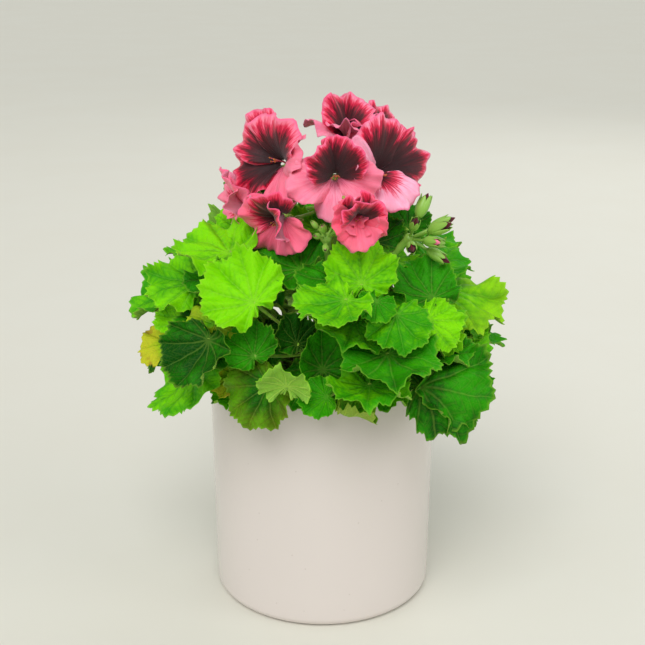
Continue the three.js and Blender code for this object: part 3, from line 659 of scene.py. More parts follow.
def hair_patches(path_points, directions, rng, count, length, material):
    """Fine hairs: three-sided cones, length by a tenth wide, from random points of a surface outwards."""
    pick = rng.integers(0, len(path_points), count)
    root, way = path_points[pick], unit(directions[pick] + rng.normal(0, 0.35, (count, 3)))
    side = unit(np.cross(way, rng.normal(0, 1, (count, 3))))
    other = np.cross(way, side)
    width = 0.00007
    tall = length * rng.uniform(0.6, 1.2, (count, 1))
    corners = [root + width * (math.cos(a) * side + math.sin(a) * other) for a in (0, 2.094, 4.189)]
    points = np.stack([*corners, root + tall * way], 1).reshape(-1, 3)
    base = 4 * np.arange(count)[:, None]
    tris = np.concatenate([base + f for f in ((0, 1, 3), (1, 2, 3), (2, 0, 3), (0, 2, 1))])
    return patch(points, None, tris, material, None, np.tile((1.0, 0.0, 0.0, 1.0), (len(points), 1)))


# ---------------------------------------------------------------- materials
def srgb(red, green, blue):
    """A linear colour from 0-255 sRGB values."""
    c = np.array([red, green, blue]) / 255
    c = np.where(c <= 0.04045, c / 12.92, ((c + 0.055) / 1.055) ** 2.4)
    return tuple(float(v) for v in c)


def rgba(colour):
    """A colour with full alpha."""
    return (*colour[:3], 1.0)


def add(tree, kind, settings=None, inputs=None, output=0):
    """Adds a node with its settings and its inputs, values or sockets to link, and gives one of its
    outputs."""
    made = tree.nodes.new("ShaderNode" + kind)
    for key, value in (settings or {}).items():
        setattr(made, key, value)
    for key, value in (inputs or {}).items():
        if isinstance(value, bpy.types.NodeSocket):
            tree.links.new(value, made.inputs[key])
        else:
            made.inputs[key].default_value = value
    return made.outputs[output]


def maths(tree, operation, *values, clamp=False):
    """One Math node."""
    return add(tree, "Math", {"operation": operation, "use_clamp": clamp}, dict(enumerate(values)))


def ramp(tree, value, start, end, low=0.0, high=1.0):
    """A smooth step of value from start to end."""
    limits = {0: value, 1: start, 2: end, 3: low, 4: high}
    return add(tree, "MapRange", {"interpolation_type": "SMOOTHSTEP"}, limits)


def blend(tree, factor, a, b, kind="MIX"):
    """Colour a goes to colour b by factor."""
    return add(tree, "Mix", {"data_type": "RGBA", "blend_type": kind}, {0: factor, 6: a, 7: b}, 2)


def group(name, inputs, outputs):
    """A new shader node group with its sockets, and its input and output nodes."""
    tree = bpy.data.node_groups.new(name, "ShaderNodeTree")
    for kind, sockets in (("INPUT", inputs), ("OUTPUT", outputs)):
        for socket, (type_name, default) in sockets.items():
            made = tree.interface.new_socket(socket, in_out=kind, socket_type="NodeSocket" + type_name)
            if default is not None:
                made.default_value = default
    return tree, tree.nodes.new("NodeGroupInput"), tree.nodes.new("NodeGroupOutput")


def vein_group():
    """Veins of a fan leaf from its flat plan, centred on the hub with the midrib along x: main veins at even
    angles, side veins as chevrons between them, a fine net, the height of the quilted blade, which the
    leaf's colour also uses for painted shade in its hollows, and a mask along the main veins for painted
    shade in the pleat valleys."""
    tree, start, end = group("leaf_veins", {"Plan": ("Vector", None), "Spread": ("Float", 0.6)},
                             {"Main": ("Float", None), "Side": ("Float", None), "Net": ("Float", None),
                              "Height": ("Float", None), "GrooveShade": ("Float", None)})
    plan = add(tree, "VectorMath", {"operation": "SUBTRACT"}, {0: start.outputs["Plan"], 1: (0.5, 0.5, 0.0)})
    plan = add(tree, "VectorMath", {"operation": "SCALE"}, {0: plan, "Scale": 3.0})
    wobble = add(tree, "TexNoise", None, {"Vector": plan, "Scale": 3.0, "Detail": 2.0}, "Color")
    wobble = add(tree, "VectorMath", {"operation": "SUBTRACT"}, {0: wobble, 1: (0.5, 0.5, 0.5)})
    wobble = add(tree, "VectorMath", {"operation": "SCALE"}, {0: wobble, "Scale": 0.05})
    plan = add(tree, "VectorMath", {"operation": "ADD"}, {0: plan, 1: wobble})
    split = add(tree, "SeparateXYZ", None, {0: plan}).node
    x, y = split.outputs[0], split.outputs[1]
    r = maths(tree, "SQRT", maths(tree, "ADD", maths(tree, "MULTIPLY", x, x), maths(tree, "MULTIPLY", y, y)))
    angle = maths(tree, "ABSOLUTE", maths(tree, "ARCTAN2", y, x))
    half = maths(tree, "MULTIPLY", start.outputs["Spread"], 0.5)
    away = maths(tree, "PINGPONG", angle, half)
    off = maths(tree, "MULTIPLY", r, maths(tree, "SINE", away))
    on = maths(tree, "MULTIPLY", r, maths(tree, "COSINE", away))
    width = maths(tree, "MULTIPLY", maths(tree, "SUBTRACT", 1.25, r), 0.011)
    main = ramp(tree, maths(tree, "DIVIDE", off, width), 0.5, 2.2, 1.0, 0.0)
    step = maths(tree, "MULTIPLY", maths(tree, "SUBTRACT", on, maths(tree, "MULTIPLY", off, 0.9)), 8.0)
    side_gap = maths(tree, "PINGPONG", step, 0.5)
    side = ramp(tree, side_gap, 0.02, 0.11, 1.0, 0.0)
    net_gap = add(tree, "TexVoronoi", {"feature": "DISTANCE_TO_EDGE"}, {"Vector": plan, "Scale": 17.0},
                  "Distance")
    net = ramp(tree, net_gap, 0.0, 0.07, 1.0, 0.0)
    quilt = maths(tree, "MULTIPLY", ramp(tree, side_gap, 0.0, 0.35), 0.55)
    bead = maths(tree, "MULTIPLY", ramp(tree, net_gap, 0.0, 0.3), 0.3)
    trough = maths(tree, "MULTIPLY", ramp(tree, off, 0.0, 0.07), 0.9)
    height = maths(tree, "ADD", maths(tree, "ADD", quilt, bead), trough)
    # Painted shade: a mask along the main veins, where the pleat valleys lie, that darkens the leaf's
    # colour.
    groove_shade = ramp(tree, maths(tree, "DIVIDE", away, half), 0.0, 0.8, 1.0, 0.0)
    masks = {"Main": main, "Side": side, "Net": net, "Height": height, "GrooveShade": groove_shade}
    for name, value in masks.items():
        tree.links.new(value, end.inputs[name])
    return tree


def mottle_group():
    """Soft colour variation, as a mask from two sizes of noise, and a fine one for pores."""
    tree, start, end = group("mottle", {"Vector": ("Vector", None), "Scale": ("Float", 100.0)},
                             {"Soft": ("Float", None), "Fine": ("Float", None)})
    vector, scale = start.outputs["Vector"], start.outputs["Scale"]
    soft = add(tree, "TexNoise", None, {"Vector": vector, "Scale": scale, "Detail": 4.0, "Roughness": 0.6})
    fine_scale = maths(tree, "MULTIPLY", scale, 14.0)
    fine = add(tree, "TexNoise", None, {"Vector": vector, "Scale": fine_scale, "Detail": 2.0})
    tree.links.new(ramp(tree, soft, 0.3, 0.7), end.inputs["Soft"])
    tree.links.new(ramp(tree, fine, 0.3, 0.7), end.inputs["Fine"])
    return tree


def shared_group(name, make):
    """The node group of that name, built the first time it is asked for."""
    return bpy.data.node_groups.get(name) or make()


def use_group(tree, made, inputs):
    """Places a node group and gives the node."""
    node = tree.nodes.new("ShaderNodeGroup")
    node.node_tree = made
    for key, value in inputs.items():
        if isinstance(value, bpy.types.NodeSocket):
            tree.links.new(value, node.inputs[key])
        else:
            node.inputs[key].default_value = value
    return node


def material(name, **shader):
    """A material with one Principled BSDF whose plain values are set on its own sockets, and its tree."""
    made = bpy.data.materials.new(name)
    made.use_nodes = True
    tree = made.node_tree
    surface = tree.nodes["Principled BSDF"]
    for key, value in shader.items():
        surface.inputs[key.replace("_", " ")].default_value = value
    return made, tree, surface


def mottle(tree, scale):
    """Soft and fine noise on the piece's own Object coordinates."""
    where = add(tree, "TexCoord", output="Object")
    return use_group(tree, shared_group("mottle", mottle_group), {"Vector": where, "Scale": scale}).outputs


def bump(tree, surface, height, strength, distance):
    """Feeds a height into the normal."""
    normal = add(tree, "Bump", None, {"Height": height, "Strength": strength, "Distance": distance})
    tree.links.new(normal, surface.inputs["Normal"])


def roughness(tree, surface, noise, share, base):
    """Drives a surface's roughness: the base plus a share of a noise."""
    rough = maths(tree, "ADD", maths(tree, "MULTIPLY", noise, share), base)
    tree.links.new(rough, surface.inputs["Roughness"])


def shade_of(tree):
    """The piece's shade attribute: its three values and the fourth."""
    node = add(tree, "Attribute", {"attribute_name": "shade"}, output="Color").node
    parts = add(tree, "SeparateColor", None, {0: node.outputs["Color"]}).node
    return parts.outputs[0], parts.outputs[1], parts.outputs[2], node.outputs["Alpha"]


def leaf_material(settings, under=False):
    """Leaf skin: deep to bright green by the leaf's tone, which is partly the leaf's own green and partly
    painted light and shade, painted shade in the pleat valleys and in the hollows of the quilting, pale
    veins, a paler yellowing edge, quilted relief."""
    made, tree, surface = material(
        "leaf_under" if under else "leaf_upper", Subsurface_Weight=0.12, Subsurface_Scale=0.0016,
        Subsurface_Radius=(0.5, 1.0, 0.1), Specular_IOR_Level=0.1)
    tone, rim, age, spot = shade_of(tree)
    plan = add(tree, "UVMap", {"uv_map": "surface"})
    spread = settings.vein_spread
    veins = use_group(tree, shared_group("leaf_veins", vein_group), {"Plan": plan, "Spread": spread})
    main, side, net, height = (veins.outputs[k] for k in ("Main", "Side", "Net", "Height"))
    noise = mottle(tree, 55.0)
    cloud = maths(tree, "SUBTRACT", noise["Soft"], 0.5)
    # Painted light and shade: the tone sets how deep or bright each leaf's green is, partly its own green
    # and partly how lit or shaded the leaf lay.
    lively = maths(tree, "ADD", tone, maths(tree, "MULTIPLY", cloud, 0.3))
    # Painted shade: the hollows of the quilting and the troughs along the main veins are coloured darker by
    # the relief's height.
    lively = maths(tree, "ADD", lively, maths(tree, "MULTIPLY", maths(tree, "SUBTRACT", height, 0.8), 0.12),
                   clamp=True)
    colour = blend(tree, ramp(tree, lively, 0.0, 0.5), rgba(settings.deep_green_and_shade), rgba(settings.mid_green))
    colour = blend(tree, ramp(tree, lively, 0.5, 1.0), colour, rgba(settings.bright_green_and_light))
    if under:
        colour = blend(tree, 0.62, colour, rgba(settings.under_green))
    pale = rgba(settings.vein_green)
    # Painted shade: the pleat valleys along the main veins are blended towards deep green.
    groove_shade = maths(tree, "MULTIPLY", veins.outputs["GrooveShade"], 0.1)
    colour = blend(tree, groove_shade, colour, rgba(settings.deep_green_and_shade))
    lines = maths(tree, "MULTIPLY", side, 0.3 if under else 0.05)
    lines = maths(tree, "MAXIMUM", lines, maths(tree, "MULTIPLY", main, 0.5 if under else 0.12))
    lines = maths(tree, "MAXIMUM", lines, maths(tree, "MULTIPLY", net, 0.05))
    colour = blend(tree, lines, colour, pale)
    edge = maths(tree, "MULTIPLY", ramp(tree, rim, 0.94, 1.0), 0.22)
    colour = blend(tree, edge, colour, rgba(settings.edge_green))
    worn = maths(tree, "ADD", rim, maths(tree, "MULTIPLY", cloud, 0.45))
    aged = maths(tree, "MULTIPLY", ramp(tree, worn, 0.15, 0.85), age)
    colour = blend(tree, aged, colour, rgba(settings.aged_yellow))
    crisp = maths(tree, "MULTIPLY", ramp(tree, worn, 0.92, 1.12), ramp(tree, age, 0.4, 0.9))
    colour = blend(tree, maths(tree, "MULTIPLY", crisp, 0.7), colour, rgba(settings.aged_brown))
    spots = add(tree, "TexVoronoi", None, {"Vector": plan, "Scale": 5.3}, "Distance")
    spots = ramp(tree, spots, 0.05, 0.09, 1.0, 0.0)
    spots = maths(tree, "MULTIPLY", spots, maths(tree, "SUBTRACT", 1.0, spot))
    colour = blend(tree, spots, colour, rgba(settings.aged_brown))
    tree.links.new(colour, surface.inputs["Base Color"])
    rough = maths(tree, "ADD", maths(tree, "MULTIPLY", noise["Fine"], 0.14), 0.64 if under else 0.52)
    tree.links.new(rough, surface.inputs["Roughness"])
    relief = maths(tree, "ADD", height, maths(tree, "MULTIPLY", noise["Fine"], 0.12))
    bump(tree, surface, relief, 0.6, -0.0005 if under else 0.0005)
    return made


def stalk_material(name, settings, reddish=0.15):
    """Soft green stalk with long streaks, a little red and fine hairs that catch the light."""
    made, tree, surface = material(name, Sheen_Weight=0.25, Sheen_Roughness=0.4, Subsurface_Weight=0.1,
                                   Subsurface_Scale=0.001)
    noise = mottle(tree, 80.0)
    colour = blend(tree, noise["Soft"], rgba(settings.stalk_green), rgba(settings.edge_green))
    red = maths(tree, "MULTIPLY", noise["Fine"], reddish)
    colour = blend(tree, red, colour, rgba(srgb(150, 70, 60)))
    tree.links.new(colour, surface.inputs["Base Color"])
    roughness(tree, surface, noise["Fine"], 0.2, 0.45)
    bump(tree, surface, noise["Fine"], 0.3, 0.0002)
    return made


def petal_material(settings, under=False):
    """Petal: a dark blotch that feathers out along fine veins, a pink-red edge, and coral to pale pink
    ground."""
    made, tree, surface = material(
        "petal_under" if under else "petal_upper", Sheen_Weight=0.2, Sheen_Roughness=0.5,
        Subsurface_Weight=0.1, Subsurface_Scale=0.0012, Subsurface_Radius=(1.0, 0.35, 0.4),
        Specular_IOR_Level=0.25)
    dark, share, pale, _ = shade_of(tree)
    plan = add(tree, "UVMap", {"uv_map": "surface"})
    split = add(tree, "SeparateXYZ", None, {0: plan}).node
    stretch = add(tree, "CombineXYZ", None, {0: maths(tree, "MULTIPLY", split.outputs[0], 26.0),
                                             1: maths(tree, "MULTIPLY", split.outputs[1], 2.2)})
    streak = add(tree, "TexNoise", None, {"Vector": stretch, "Scale": 1.0, "Detail": 3.0, "Roughness": 0.65})
    noise = mottle(tree, 90.0)
    vein = ramp(tree, streak, 0.46, 0.62)
    ground = blend(tree, pale, rgba(settings.coral), rgba(settings.pale_pink))
    ground = blend(tree, maths(tree, "MULTIPLY", noise["Soft"], 0.35), ground, rgba(settings.pink))
    throat = maths(tree, "MULTIPLY", ramp(tree, share, 0.08, 0.42, 1.0, 0.0), maths(tree, "ADD", 0.3, vein))
    ground = blend(tree, maths(tree, "MULTIPLY", throat, 0.75, clamp=True), ground, rgba(settings.magenta))
    lines = maths(tree, "MULTIPLY", vein, ramp(tree, share, 0.35, 0.95, 0.4, 0.1))
    ground = blend(tree, lines, ground, rgba(settings.edge_red))
    feather = maths(tree, "ADD", share, maths(tree, "MULTIPLY", maths(tree, "SUBTRACT", 0.5, streak), 0.9))
    feather = maths(tree, "ADD", feather, maths(tree, "MULTIPLY", maths(tree, "SUBTRACT", 1.0, dark), 0.75))
    warm = ramp(tree, feather, 0.9, 1.14, 1.0, 0.0)
    deep = ramp(tree, feather, 0.72, 0.98, 1.0, 0.0)
    present = ramp(tree, dark, 0.05, 0.3)
    colour = blend(tree, maths(tree, "MULTIPLY", warm, present), ground, rgba(settings.edge_red))
    colour = blend(tree, maths(tree, "MULTIPLY", deep, present), colour, rgba(settings.burgundy))
    black = maths(tree, "MULTIPLY", ramp(tree, feather, 0.4, 0.82, 1.0, 0.0), present)
    colour = blend(tree, maths(tree, "MULTIPLY", black, 0.85), colour, rgba(settings.near_black))
    rim = maths(tree, "MULTIPLY", ramp(tree, share, 0.93, 1.0), maths(tree, "MULTIPLY", present, 0.7))
    colour = blend(tree, rim, colour, rgba(settings.pink))
    if under:
        colour = blend(tree, 0.5, colour, rgba(settings.pale_pink))
    tree.links.new(colour, surface.inputs["Base Color"])
    roughness(tree, surface, noise["Fine"], 0.15, 0.45)
    relief = maths(tree, "ADD", streak, maths(tree, "MULTIPLY", noise["Fine"], 0.15))
    bump(tree, surface, relief, 0.5, 0.0005)
    return made


def sepal_material():
    """Sepal: pale green with reddish edges and a soft sheen of hairs."""
    made, tree, surface = material("sepal", Sheen_Weight=0.35, Sheen_Roughness=0.4, Subsurface_Weight=0.12,
                                   Subsurface_Scale=0.001)
    _, rim, _, _ = shade_of(tree)
    noise = mottle(tree, 160.0)
    colour = blend(tree, noise["Soft"], rgba(srgb(128, 190, 45)), rgba(srgb(176, 214, 96)))
    red = maths(tree, "MULTIPLY", ramp(tree, rim, 0.75, 1.0), 0.45)
    colour = blend(tree, red, colour, rgba(srgb(200, 95, 80)))
    tree.links.new(colour, surface.inputs["Base Color"])
    roughness(tree, surface, noise["Fine"], 0.2, 0.45)
    bump(tree, surface, noise["Fine"], 0.35, 0.0002)
    return made


def stamen_material():
    """Stamen: a pink thread with an orange-brown head."""
    made, tree, surface = material("stamen", Roughness=0.5)
    kind, _, _, _ = shade_of(tree)
    noise = mottle(tree, 300.0)
    head = blend(tree, noise["Fine"], rgba(srgb(170, 80, 40)), rgba(srgb(214, 140, 70)))
    colour = blend(tree, ramp(tree, kind, 0.4, 0.6), rgba(srgb(225, 110, 130)), head)
    tree.links.new(colour, surface.inputs["Base Color"])
    bump(tree, surface, noise["Fine"], 0.4, 0.0002)
    return made


def glaze_material(settings):
    """Pale fired glaze: a smooth clear coat over a body with faint clouds, rare specks and a slight orange
    peel."""
    made, tree, surface = material("glaze", Coat_Roughness=0.08, Coat_IOR=1.5, Coat_Weight=0.5)
    noise = mottle(tree, 5.0)
    where = add(tree, "TexCoord", output="Object")
    cloud = maths(tree, "MULTIPLY", noise["Soft"], 0.12)
    colour = blend(tree, cloud, rgba(settings.glaze), rgba(settings.glaze_cloud))
    specks = add(tree, "TexVoronoi", None, {"Vector": where, "Scale": 110.0}, "Distance")
    specks = ramp(tree, specks, 0.03, 0.07, 0.35, 0.0)
    colour = blend(tree, specks, colour, rgba(srgb(170, 155, 145)))
    tree.links.new(colour, surface.inputs["Base Color"])
    roughness(tree, surface, noise["Fine"], 0.02, 0.24)
    peel = add(tree, "TexNoise", None, {"Vector": where, "Scale": 60.0, "Detail": 1.0})
    bump(tree, surface, peel, 0.006, 0.0002)
    return made


def plastic_material(settings):
    """Thin moulded plastic: fine horizontal draw lines and a matt grain."""
    made, tree, surface = material("liner_plastic", Specular_IOR_Level=0.4)
    noise = mottle(tree, 40.0)
    where = add(tree, "TexCoord", output="Object")
    colour = blend(tree, noise["Soft"], rgba(settings.plastic), rgba(srgb(96, 58, 42)))
    lines = add(tree, "TexWave", {"bands_direction": "Z"},
                {"Vector": where, "Scale": 160.0, "Distortion": 0.6})
    tree.links.new(colour, surface.inputs["Base Color"])
    roughness(tree, surface, noise["Fine"], 0.2, 0.45)
    bump(tree, surface, maths(tree, "ADD", lines, noise["Fine"]), 0.25, 0.0003)
    return made


def compost_material():
    """Moist compost: dark crumbs, lighter fibres and pale grains."""
    made, tree, surface = material("compost", Specular_IOR_Level=0.3)
    _, _, grain, _ = shade_of(tree)
    noise = mottle(tree, 220.0)
    colour = blend(tree, noise["Soft"], rgba(srgb(38, 25, 17)), rgba(srgb(82, 58, 40)))
    colour = blend(tree, ramp(tree, noise["Fine"], 0.7, 1.0), colour, rgba(srgb(120, 92, 66)))
    colour = blend(tree, grain, colour, rgba(srgb(150, 118, 84)))
    tree.links.new(colour, surface.inputs["Base Color"])
    roughness(tree, surface, noise["Soft"], 0.3, 0.65)
    bump(tree, surface, maths(tree, "ADD", noise["Soft"], noise["Fine"]), 0.8, 0.0012)
    return made


def stem_material():
    """Half-woody stem: brown below, green above, with leaf scars as soft rings."""
    made, tree, surface = material("stem_bark", Specular_IOR_Level=0.3)
    noise = mottle(tree, 90.0)
    where = add(tree, "TexCoord", output="Object")
    height = add(tree, "SeparateXYZ", None, {0: where}).node.outputs[2]
    low = ramp(tree, height, SOIL_HIGH.z, SOIL_HIGH.z + 0.05, 1.0, 0.0)
    green = blend(tree, noise["Soft"], rgba(srgb(92, 128, 45)), rgba(srgb(128, 158, 70)))
    brown = blend(tree, noise["Soft"], rgba(srgb(92, 70, 44)), rgba(srgb(134, 110, 74)))
    colour = blend(tree, low, green, brown)
    rings = add(tree, "TexWave", {"bands_direction": "Z"},
                {"Vector": where, "Scale": 26.0, "Distortion": 3.0})
    colour = blend(tree, ramp(tree, rings, 0.85, 1.0, 0.0, 0.5), colour, rgba(srgb(80, 60, 40)))
    tree.links.new(colour, surface.inputs["Base Color"])
    roughness(tree, surface, noise["Fine"], 0.2, 0.6)
    bump(tree, surface, maths(tree, "ADD", noise["Fine"], rings), 0.6, 0.0005)
    return made


# ---------------------------------------------------------------- settings
def colour_setting(name, description, shade):
    """A setting for a colour, with its default in 0-255 sRGB values."""
    return FloatVectorProperty(name=name, description=description, default=srgb(*shade),
                               subtype="COLOR", min=0, max=1)


def distance_setting(name, description, default):
    """A setting for a length in metres."""
    return FloatProperty(name=name, description=description, default=default,
                         subtype="DISTANCE", unit="LENGTH")


def share_setting(name, description, default):
    """A setting for a share of a size."""
    return FloatProperty(name=name, description=description, default=default, subtype="FACTOR")


class PotSettings(bpy.types.PropertyGroup):
    """Sizes and colours of the two pots."""

    wall: distance_setting("Wall", "Thickness of the cover pot's wall", 0.0045)
    floor: distance_setting("Floor", "Thickness of the cover pot's floor", 0.0065)
    taper: distance_setting("Taper", "How much smaller the foot's radius is than the rim's", 0.0015)
    foot_round: distance_setting("Foot rounding", "Radius of the round edge at the foot", 0.006)
    lip_round: distance_setting("Lip rounding", "Radius of the round edges of the lip", 0.0022)
    glaze: colour_setting("Glaze", "Colour of the glaze", (214, 205, 200))
    glaze_cloud: colour_setting("Glaze clouds", "Colour of the faint clouds in the glaze", (216, 203, 199))
    plastic: colour_setting("Plastic", "Colour of the nursery pot", (112, 68, 50))


class LeafSettings(bpy.types.PropertyGroup):
    """Sizes and colours of the leaves."""

    thickness: distance_setting("Thickness", "Thickness of a leaf at its middle", 0.00045)
    teeth: IntProperty(name="Teeth", description="Teeth round the edge of a leaf 30 mm long", default=40)
    tooth_depth: share_setting("Tooth depth", "Depth of a tooth, as a share of the leaf", 0.06)
    vein_spread: FloatProperty(name="Vein spread", description="Angle between main veins",
                               default=math.radians(30), subtype="ANGLE", unit="ROTATION")
    pleat: share_setting("Pleats", "Height of the pleats, as a share of the leaf", 0.06)
    ruffle: share_setting("Ruffle", "Height of the edge's waves, as a share of the leaf", 0.08)
    stalk_radius: distance_setting("Stalk radius", "Radius of a leaf stalk", 0.0011)
    fill_gap: distance_setting("Gap", "Least distance from a filling leaf to what stands already", 0.0035)
    fill_tries: IntProperty(name="Tries", description="Places tried for each filling leaf", default=40)
    # Deep and bright green are partly the leaves' own greens and partly painted shade and painted light;
    # deep green is also the painted shade in the pleat valleys.
    deep_green_and_shade: colour_setting("Deep green", "Colour of a dark leaf", (4, 70, 0))
    mid_green: colour_setting("Mid green", "Colour of a common leaf", (44, 148, 0))
    bright_green_and_light: colour_setting("Bright green", "Colour of a bright leaf", (128, 216, 0))
    under_green: colour_setting("Under side", "Colour of a leaf's under side", (150, 184, 84))
    vein_green: colour_setting("Veins", "Colour of the veins", (186, 226, 92))
    edge_green: colour_setting("Edge", "Colour of a leaf's edge", (176, 222, 70))
    stalk_green: colour_setting("Stalks", "Colour of the stalks", (110, 170, 40))
    aged_yellow: colour_setting("Aged leaf", "Colour of an ageing leaf", (196, 190, 40))
    aged_brown: colour_setting("Brown edge", "Colour of a withered edge", (150, 104, 44))


class FlowerSettings(bpy.types.PropertyGroup):
    """Sizes and colours of the flowers and buds."""

    petal_length: distance_setting("Petal length", "Length of a petal", 0.0288)
    thickness: distance_setting("Petal thickness", "Thickness of a petal", 0.0003)
    ruffle: share_setting("Ruffle", "Height of the petals' waves, as a share of their length", 0.11)
    near_black: colour_setting("Blotch centre", "Darkest colour of the blotch", (26, 8, 14))
    burgundy: colour_setting("Blotch", "Colour of the blotch", (84, 10, 26))
    edge_red: colour_setting("Edge", "Colour between blotch and edge", (226, 26, 74))
    magenta: colour_setting("Throat", "Colour of the throat", (150, 20, 78))
    pink: colour_setting("Pink", "Colour of the petals' ground", (255, 98, 148))
    coral: colour_setting("Coral", "Warm colour of the lower petals", (255, 84, 112))
    pale_pink: colour_setting("Pale pink", "Pale colour of the lower petals", (255, 184, 212))


class StageSettings(bpy.types.PropertyGroup):
    """Floor, light and camera."""

    floor: colour_setting("Floor", "Colour of the floor", (220, 217, 206))
    air: colour_setting("Surroundings", "Colour of the light all round", (232, 236, 232))
    air_strength: FloatProperty(name="Surroundings' strength", description="Strength of the light all round",
                                default=0.55)
    camera_back: distance_setting("Camera distance", "How far in front of the pot the camera stands", 0.7205)
    camera_height: distance_setting("Camera height", "Height of the camera", 0.416)
    camera_pitch: FloatProperty(name="Camera pitch", description="How far the camera looks down",
                                default=math.radians(18.5), subtype="ANGLE", unit="ROTATION")
    focal_length: FloatProperty(name="Focal length", description="Focal length of the camera in millimetres",
                                default=68.15)


# ---------------------------------------------------------------- operators
def leaf_skin(settings):
    """The three materials of a leaf: upper side, under side and stalk."""
    made = [bpy.data.materials.get(name) for name in ("leaf_upper", "leaf_under", "leaf_stalk")]
    if all(made):
        return made
    return [leaf_material(settings), leaf_material(settings, True), stalk_material("leaf_stalk", settings)]


def smooth_copy(node, name, voxel, rounds, skin):
    """A CAD node's mesh copied, merged, remeshed in small cells and smoothed, as a piece of its own."""
    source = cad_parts[node]
    mesh = source.data.copy()
    made = bpy.data.objects.new(name, mesh)
    bpy.context.scene.collection.objects.link(made)
    weld = made.modifiers.new("weld", "WELD")
    weld.merge_threshold = 1e-6
    cells = made.modifiers.new("cells", "REMESH")
    cells.mode, cells.voxel_size = "VOXEL", voxel
    soft = made.modifiers.new("soft", "SMOOTH")
    soft.factor, soft.iterations = 0.5, rounds
    final = bpy.data.meshes.new_from_object(made.evaluated_get(bpy.context.evaluated_depsgraph_get()))
    made.modifiers.clear()
    made.data = final
    final.materials.clear()
    final.materials.append(skin)
    final.shade_smooth()
    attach(made, BODY)
    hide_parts(node)
    return made


class GERANIUM_OT_cover_pot(bpy.types.Operator):
    """Build the glazed cover pot as one fine turned shell"""

    bl_idname = "geranium.cover_pot"
    bl_label = "Cover pot"

    def execute(self, context):
        pot = context.scene.geranium_pot
        rim = POT_HIGH.x
        high, foot = POT_HIGH.z, rim - pot.taper

        def corner(cx, cz, radius, start, end, steps=9):
            a = np.radians(np.linspace(start, end, steps))
            return np.stack([cx + radius * np.cos(a), cz + radius * np.sin(a)], -1)

        inner = foot + (rim - foot) * pot.floor / high - pot.wall
        lip = min(pot.lip_round, pot.wall / 2)
        wall = np.linspace(0, 1, 14)[1:-1, None]
        foot_corner = corner(foot - pot.foot_round, pot.foot_round, pot.foot_round, -90, 0)
        lip_out = corner(rim - lip, high - lip, lip, 0, 90)
        lip_in = corner(rim - pot.wall + lip, high - lip, lip, 90, 180)
        base = corner(inner - pot.foot_round, pot.floor + pot.foot_round, pot.foot_round, 0, -90)
        outside = foot_corner[-1] + wall * (lip_out[0] - foot_corner[-1])
        inside = lip_in[-1] + wall * (base[0] - lip_in[-1])
        profile = np.vstack([
            [[0, 0], [0.5 * foot, 0]], foot_corner, outside, lip_out, lip_in, inside, base,
            [[0.5 * foot, pot.floor], [0, pot.floor]]])
        piece("cover_pot_look", [turned(profile, 224)], [glaze_material(pot)], ["cover_pot"])
        return {"FINISHED"}


class GERANIUM_OT_nursery_pot(bpy.types.Operator):
    """Give the nursery pot its moulded plastic"""

    bl_idname = "geranium.nursery_pot"
    bl_label = "Nursery pot"

    def execute(self, context):
        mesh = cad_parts["nursery_pot"].data
        skin = plastic_material(context.scene.geranium_pot)
        if not mesh.materials:
            mesh.materials.append(skin)
        mesh.materials[0] = skin
        return {"FINISHED"}


GRAINS = 260  # loose grains on the compost


class GERANIUM_OT_soil(bpy.types.Operator):
    """Build the compost as a crumbly turned body with loose grains on it"""

    bl_idname = "geranium.soil"
    bl_label = "Compost"

    def execute(self, context):
        rng = seeded("soil")
        top, edge = SOIL_HIGH.z, SOIL_HIGH.x
        shares = np.linspace(1, 0.02, 46)
        a = np.linspace(0, 2 * np.pi, 150, endpoint=False)
        r, turn = np.meshgrid(shares * edge, a, indexing="ij")
        x, y = r * np.cos(turn), r * np.sin(turn)
        crumbs = sum(np.sin(k * x * 900 + p) * np.sin(k * y * 870 + q) / k for k, p, q in
                     zip((0.5, 1, 1.7, 2.9, 4.3), rng.uniform(0, 6, 5), rng.uniform(0, 6, 5)))
        dome = top - 0.003 * (r / edge) ** 2 - 0.0004
        z = dome + 0.0006 * crumbs * np.minimum(1, (edge - r) / 0.003)
        rows = np.stack([x, y, z], -1)
        base = rows[:1] * np.array([0.79, 0.79, 0]) + np.array([0, 0, SOIL_LOW.z])
        rows = np.concatenate([base, rows])
        points = np.vstack([rows.reshape(-1, 3), [[0, 0, SOIL_LOW.z], [0, 0, top]]])
        sides = len(a)
        last = np.arange(sides) + (len(rows) - 1) * sides
        first = np.arange(sides)
        tris = np.vstack([fan_faces(len(points) - 2, first, False), fan_faces(len(points) - 1, last)])
        body = patch(points, grid_faces(len(rows), sides, wrap=True)[:, ::-1], tris)
        body["shade"][:, 2] = 0
        patches = [body]
        for _ in range(GRAINS):
            at = edge * 0.96 * math.sqrt(rng.uniform(0.02, 1))
            spin, size = rng.uniform(0, 2 * np.pi), rng.uniform(0.0006, 0.0018)
            lift = top - 0.003 * (at / edge) ** 2 + 0.3 * size
            middle = np.array([at * math.cos(spin), at * math.sin(spin), lift])
            way = unit(rng.normal(0, 1, 3) * (1, 1, 0.3)) * size * rng.uniform(1, 2.2)
            path = middle + np.linspace(-0.5, 0.5, 4)[:, None] * way
            light = float(rng.uniform() > 0.8) * 0.9
            patches.append(tube(path, size * np.array([0.45, 0.8, 0.75, 0.4]), 5, 0, (0.5, 0.5, light, 1)))
        piece("soil_look", patches, [compost_material()], ["soil"])
        return {"FINISHED"}


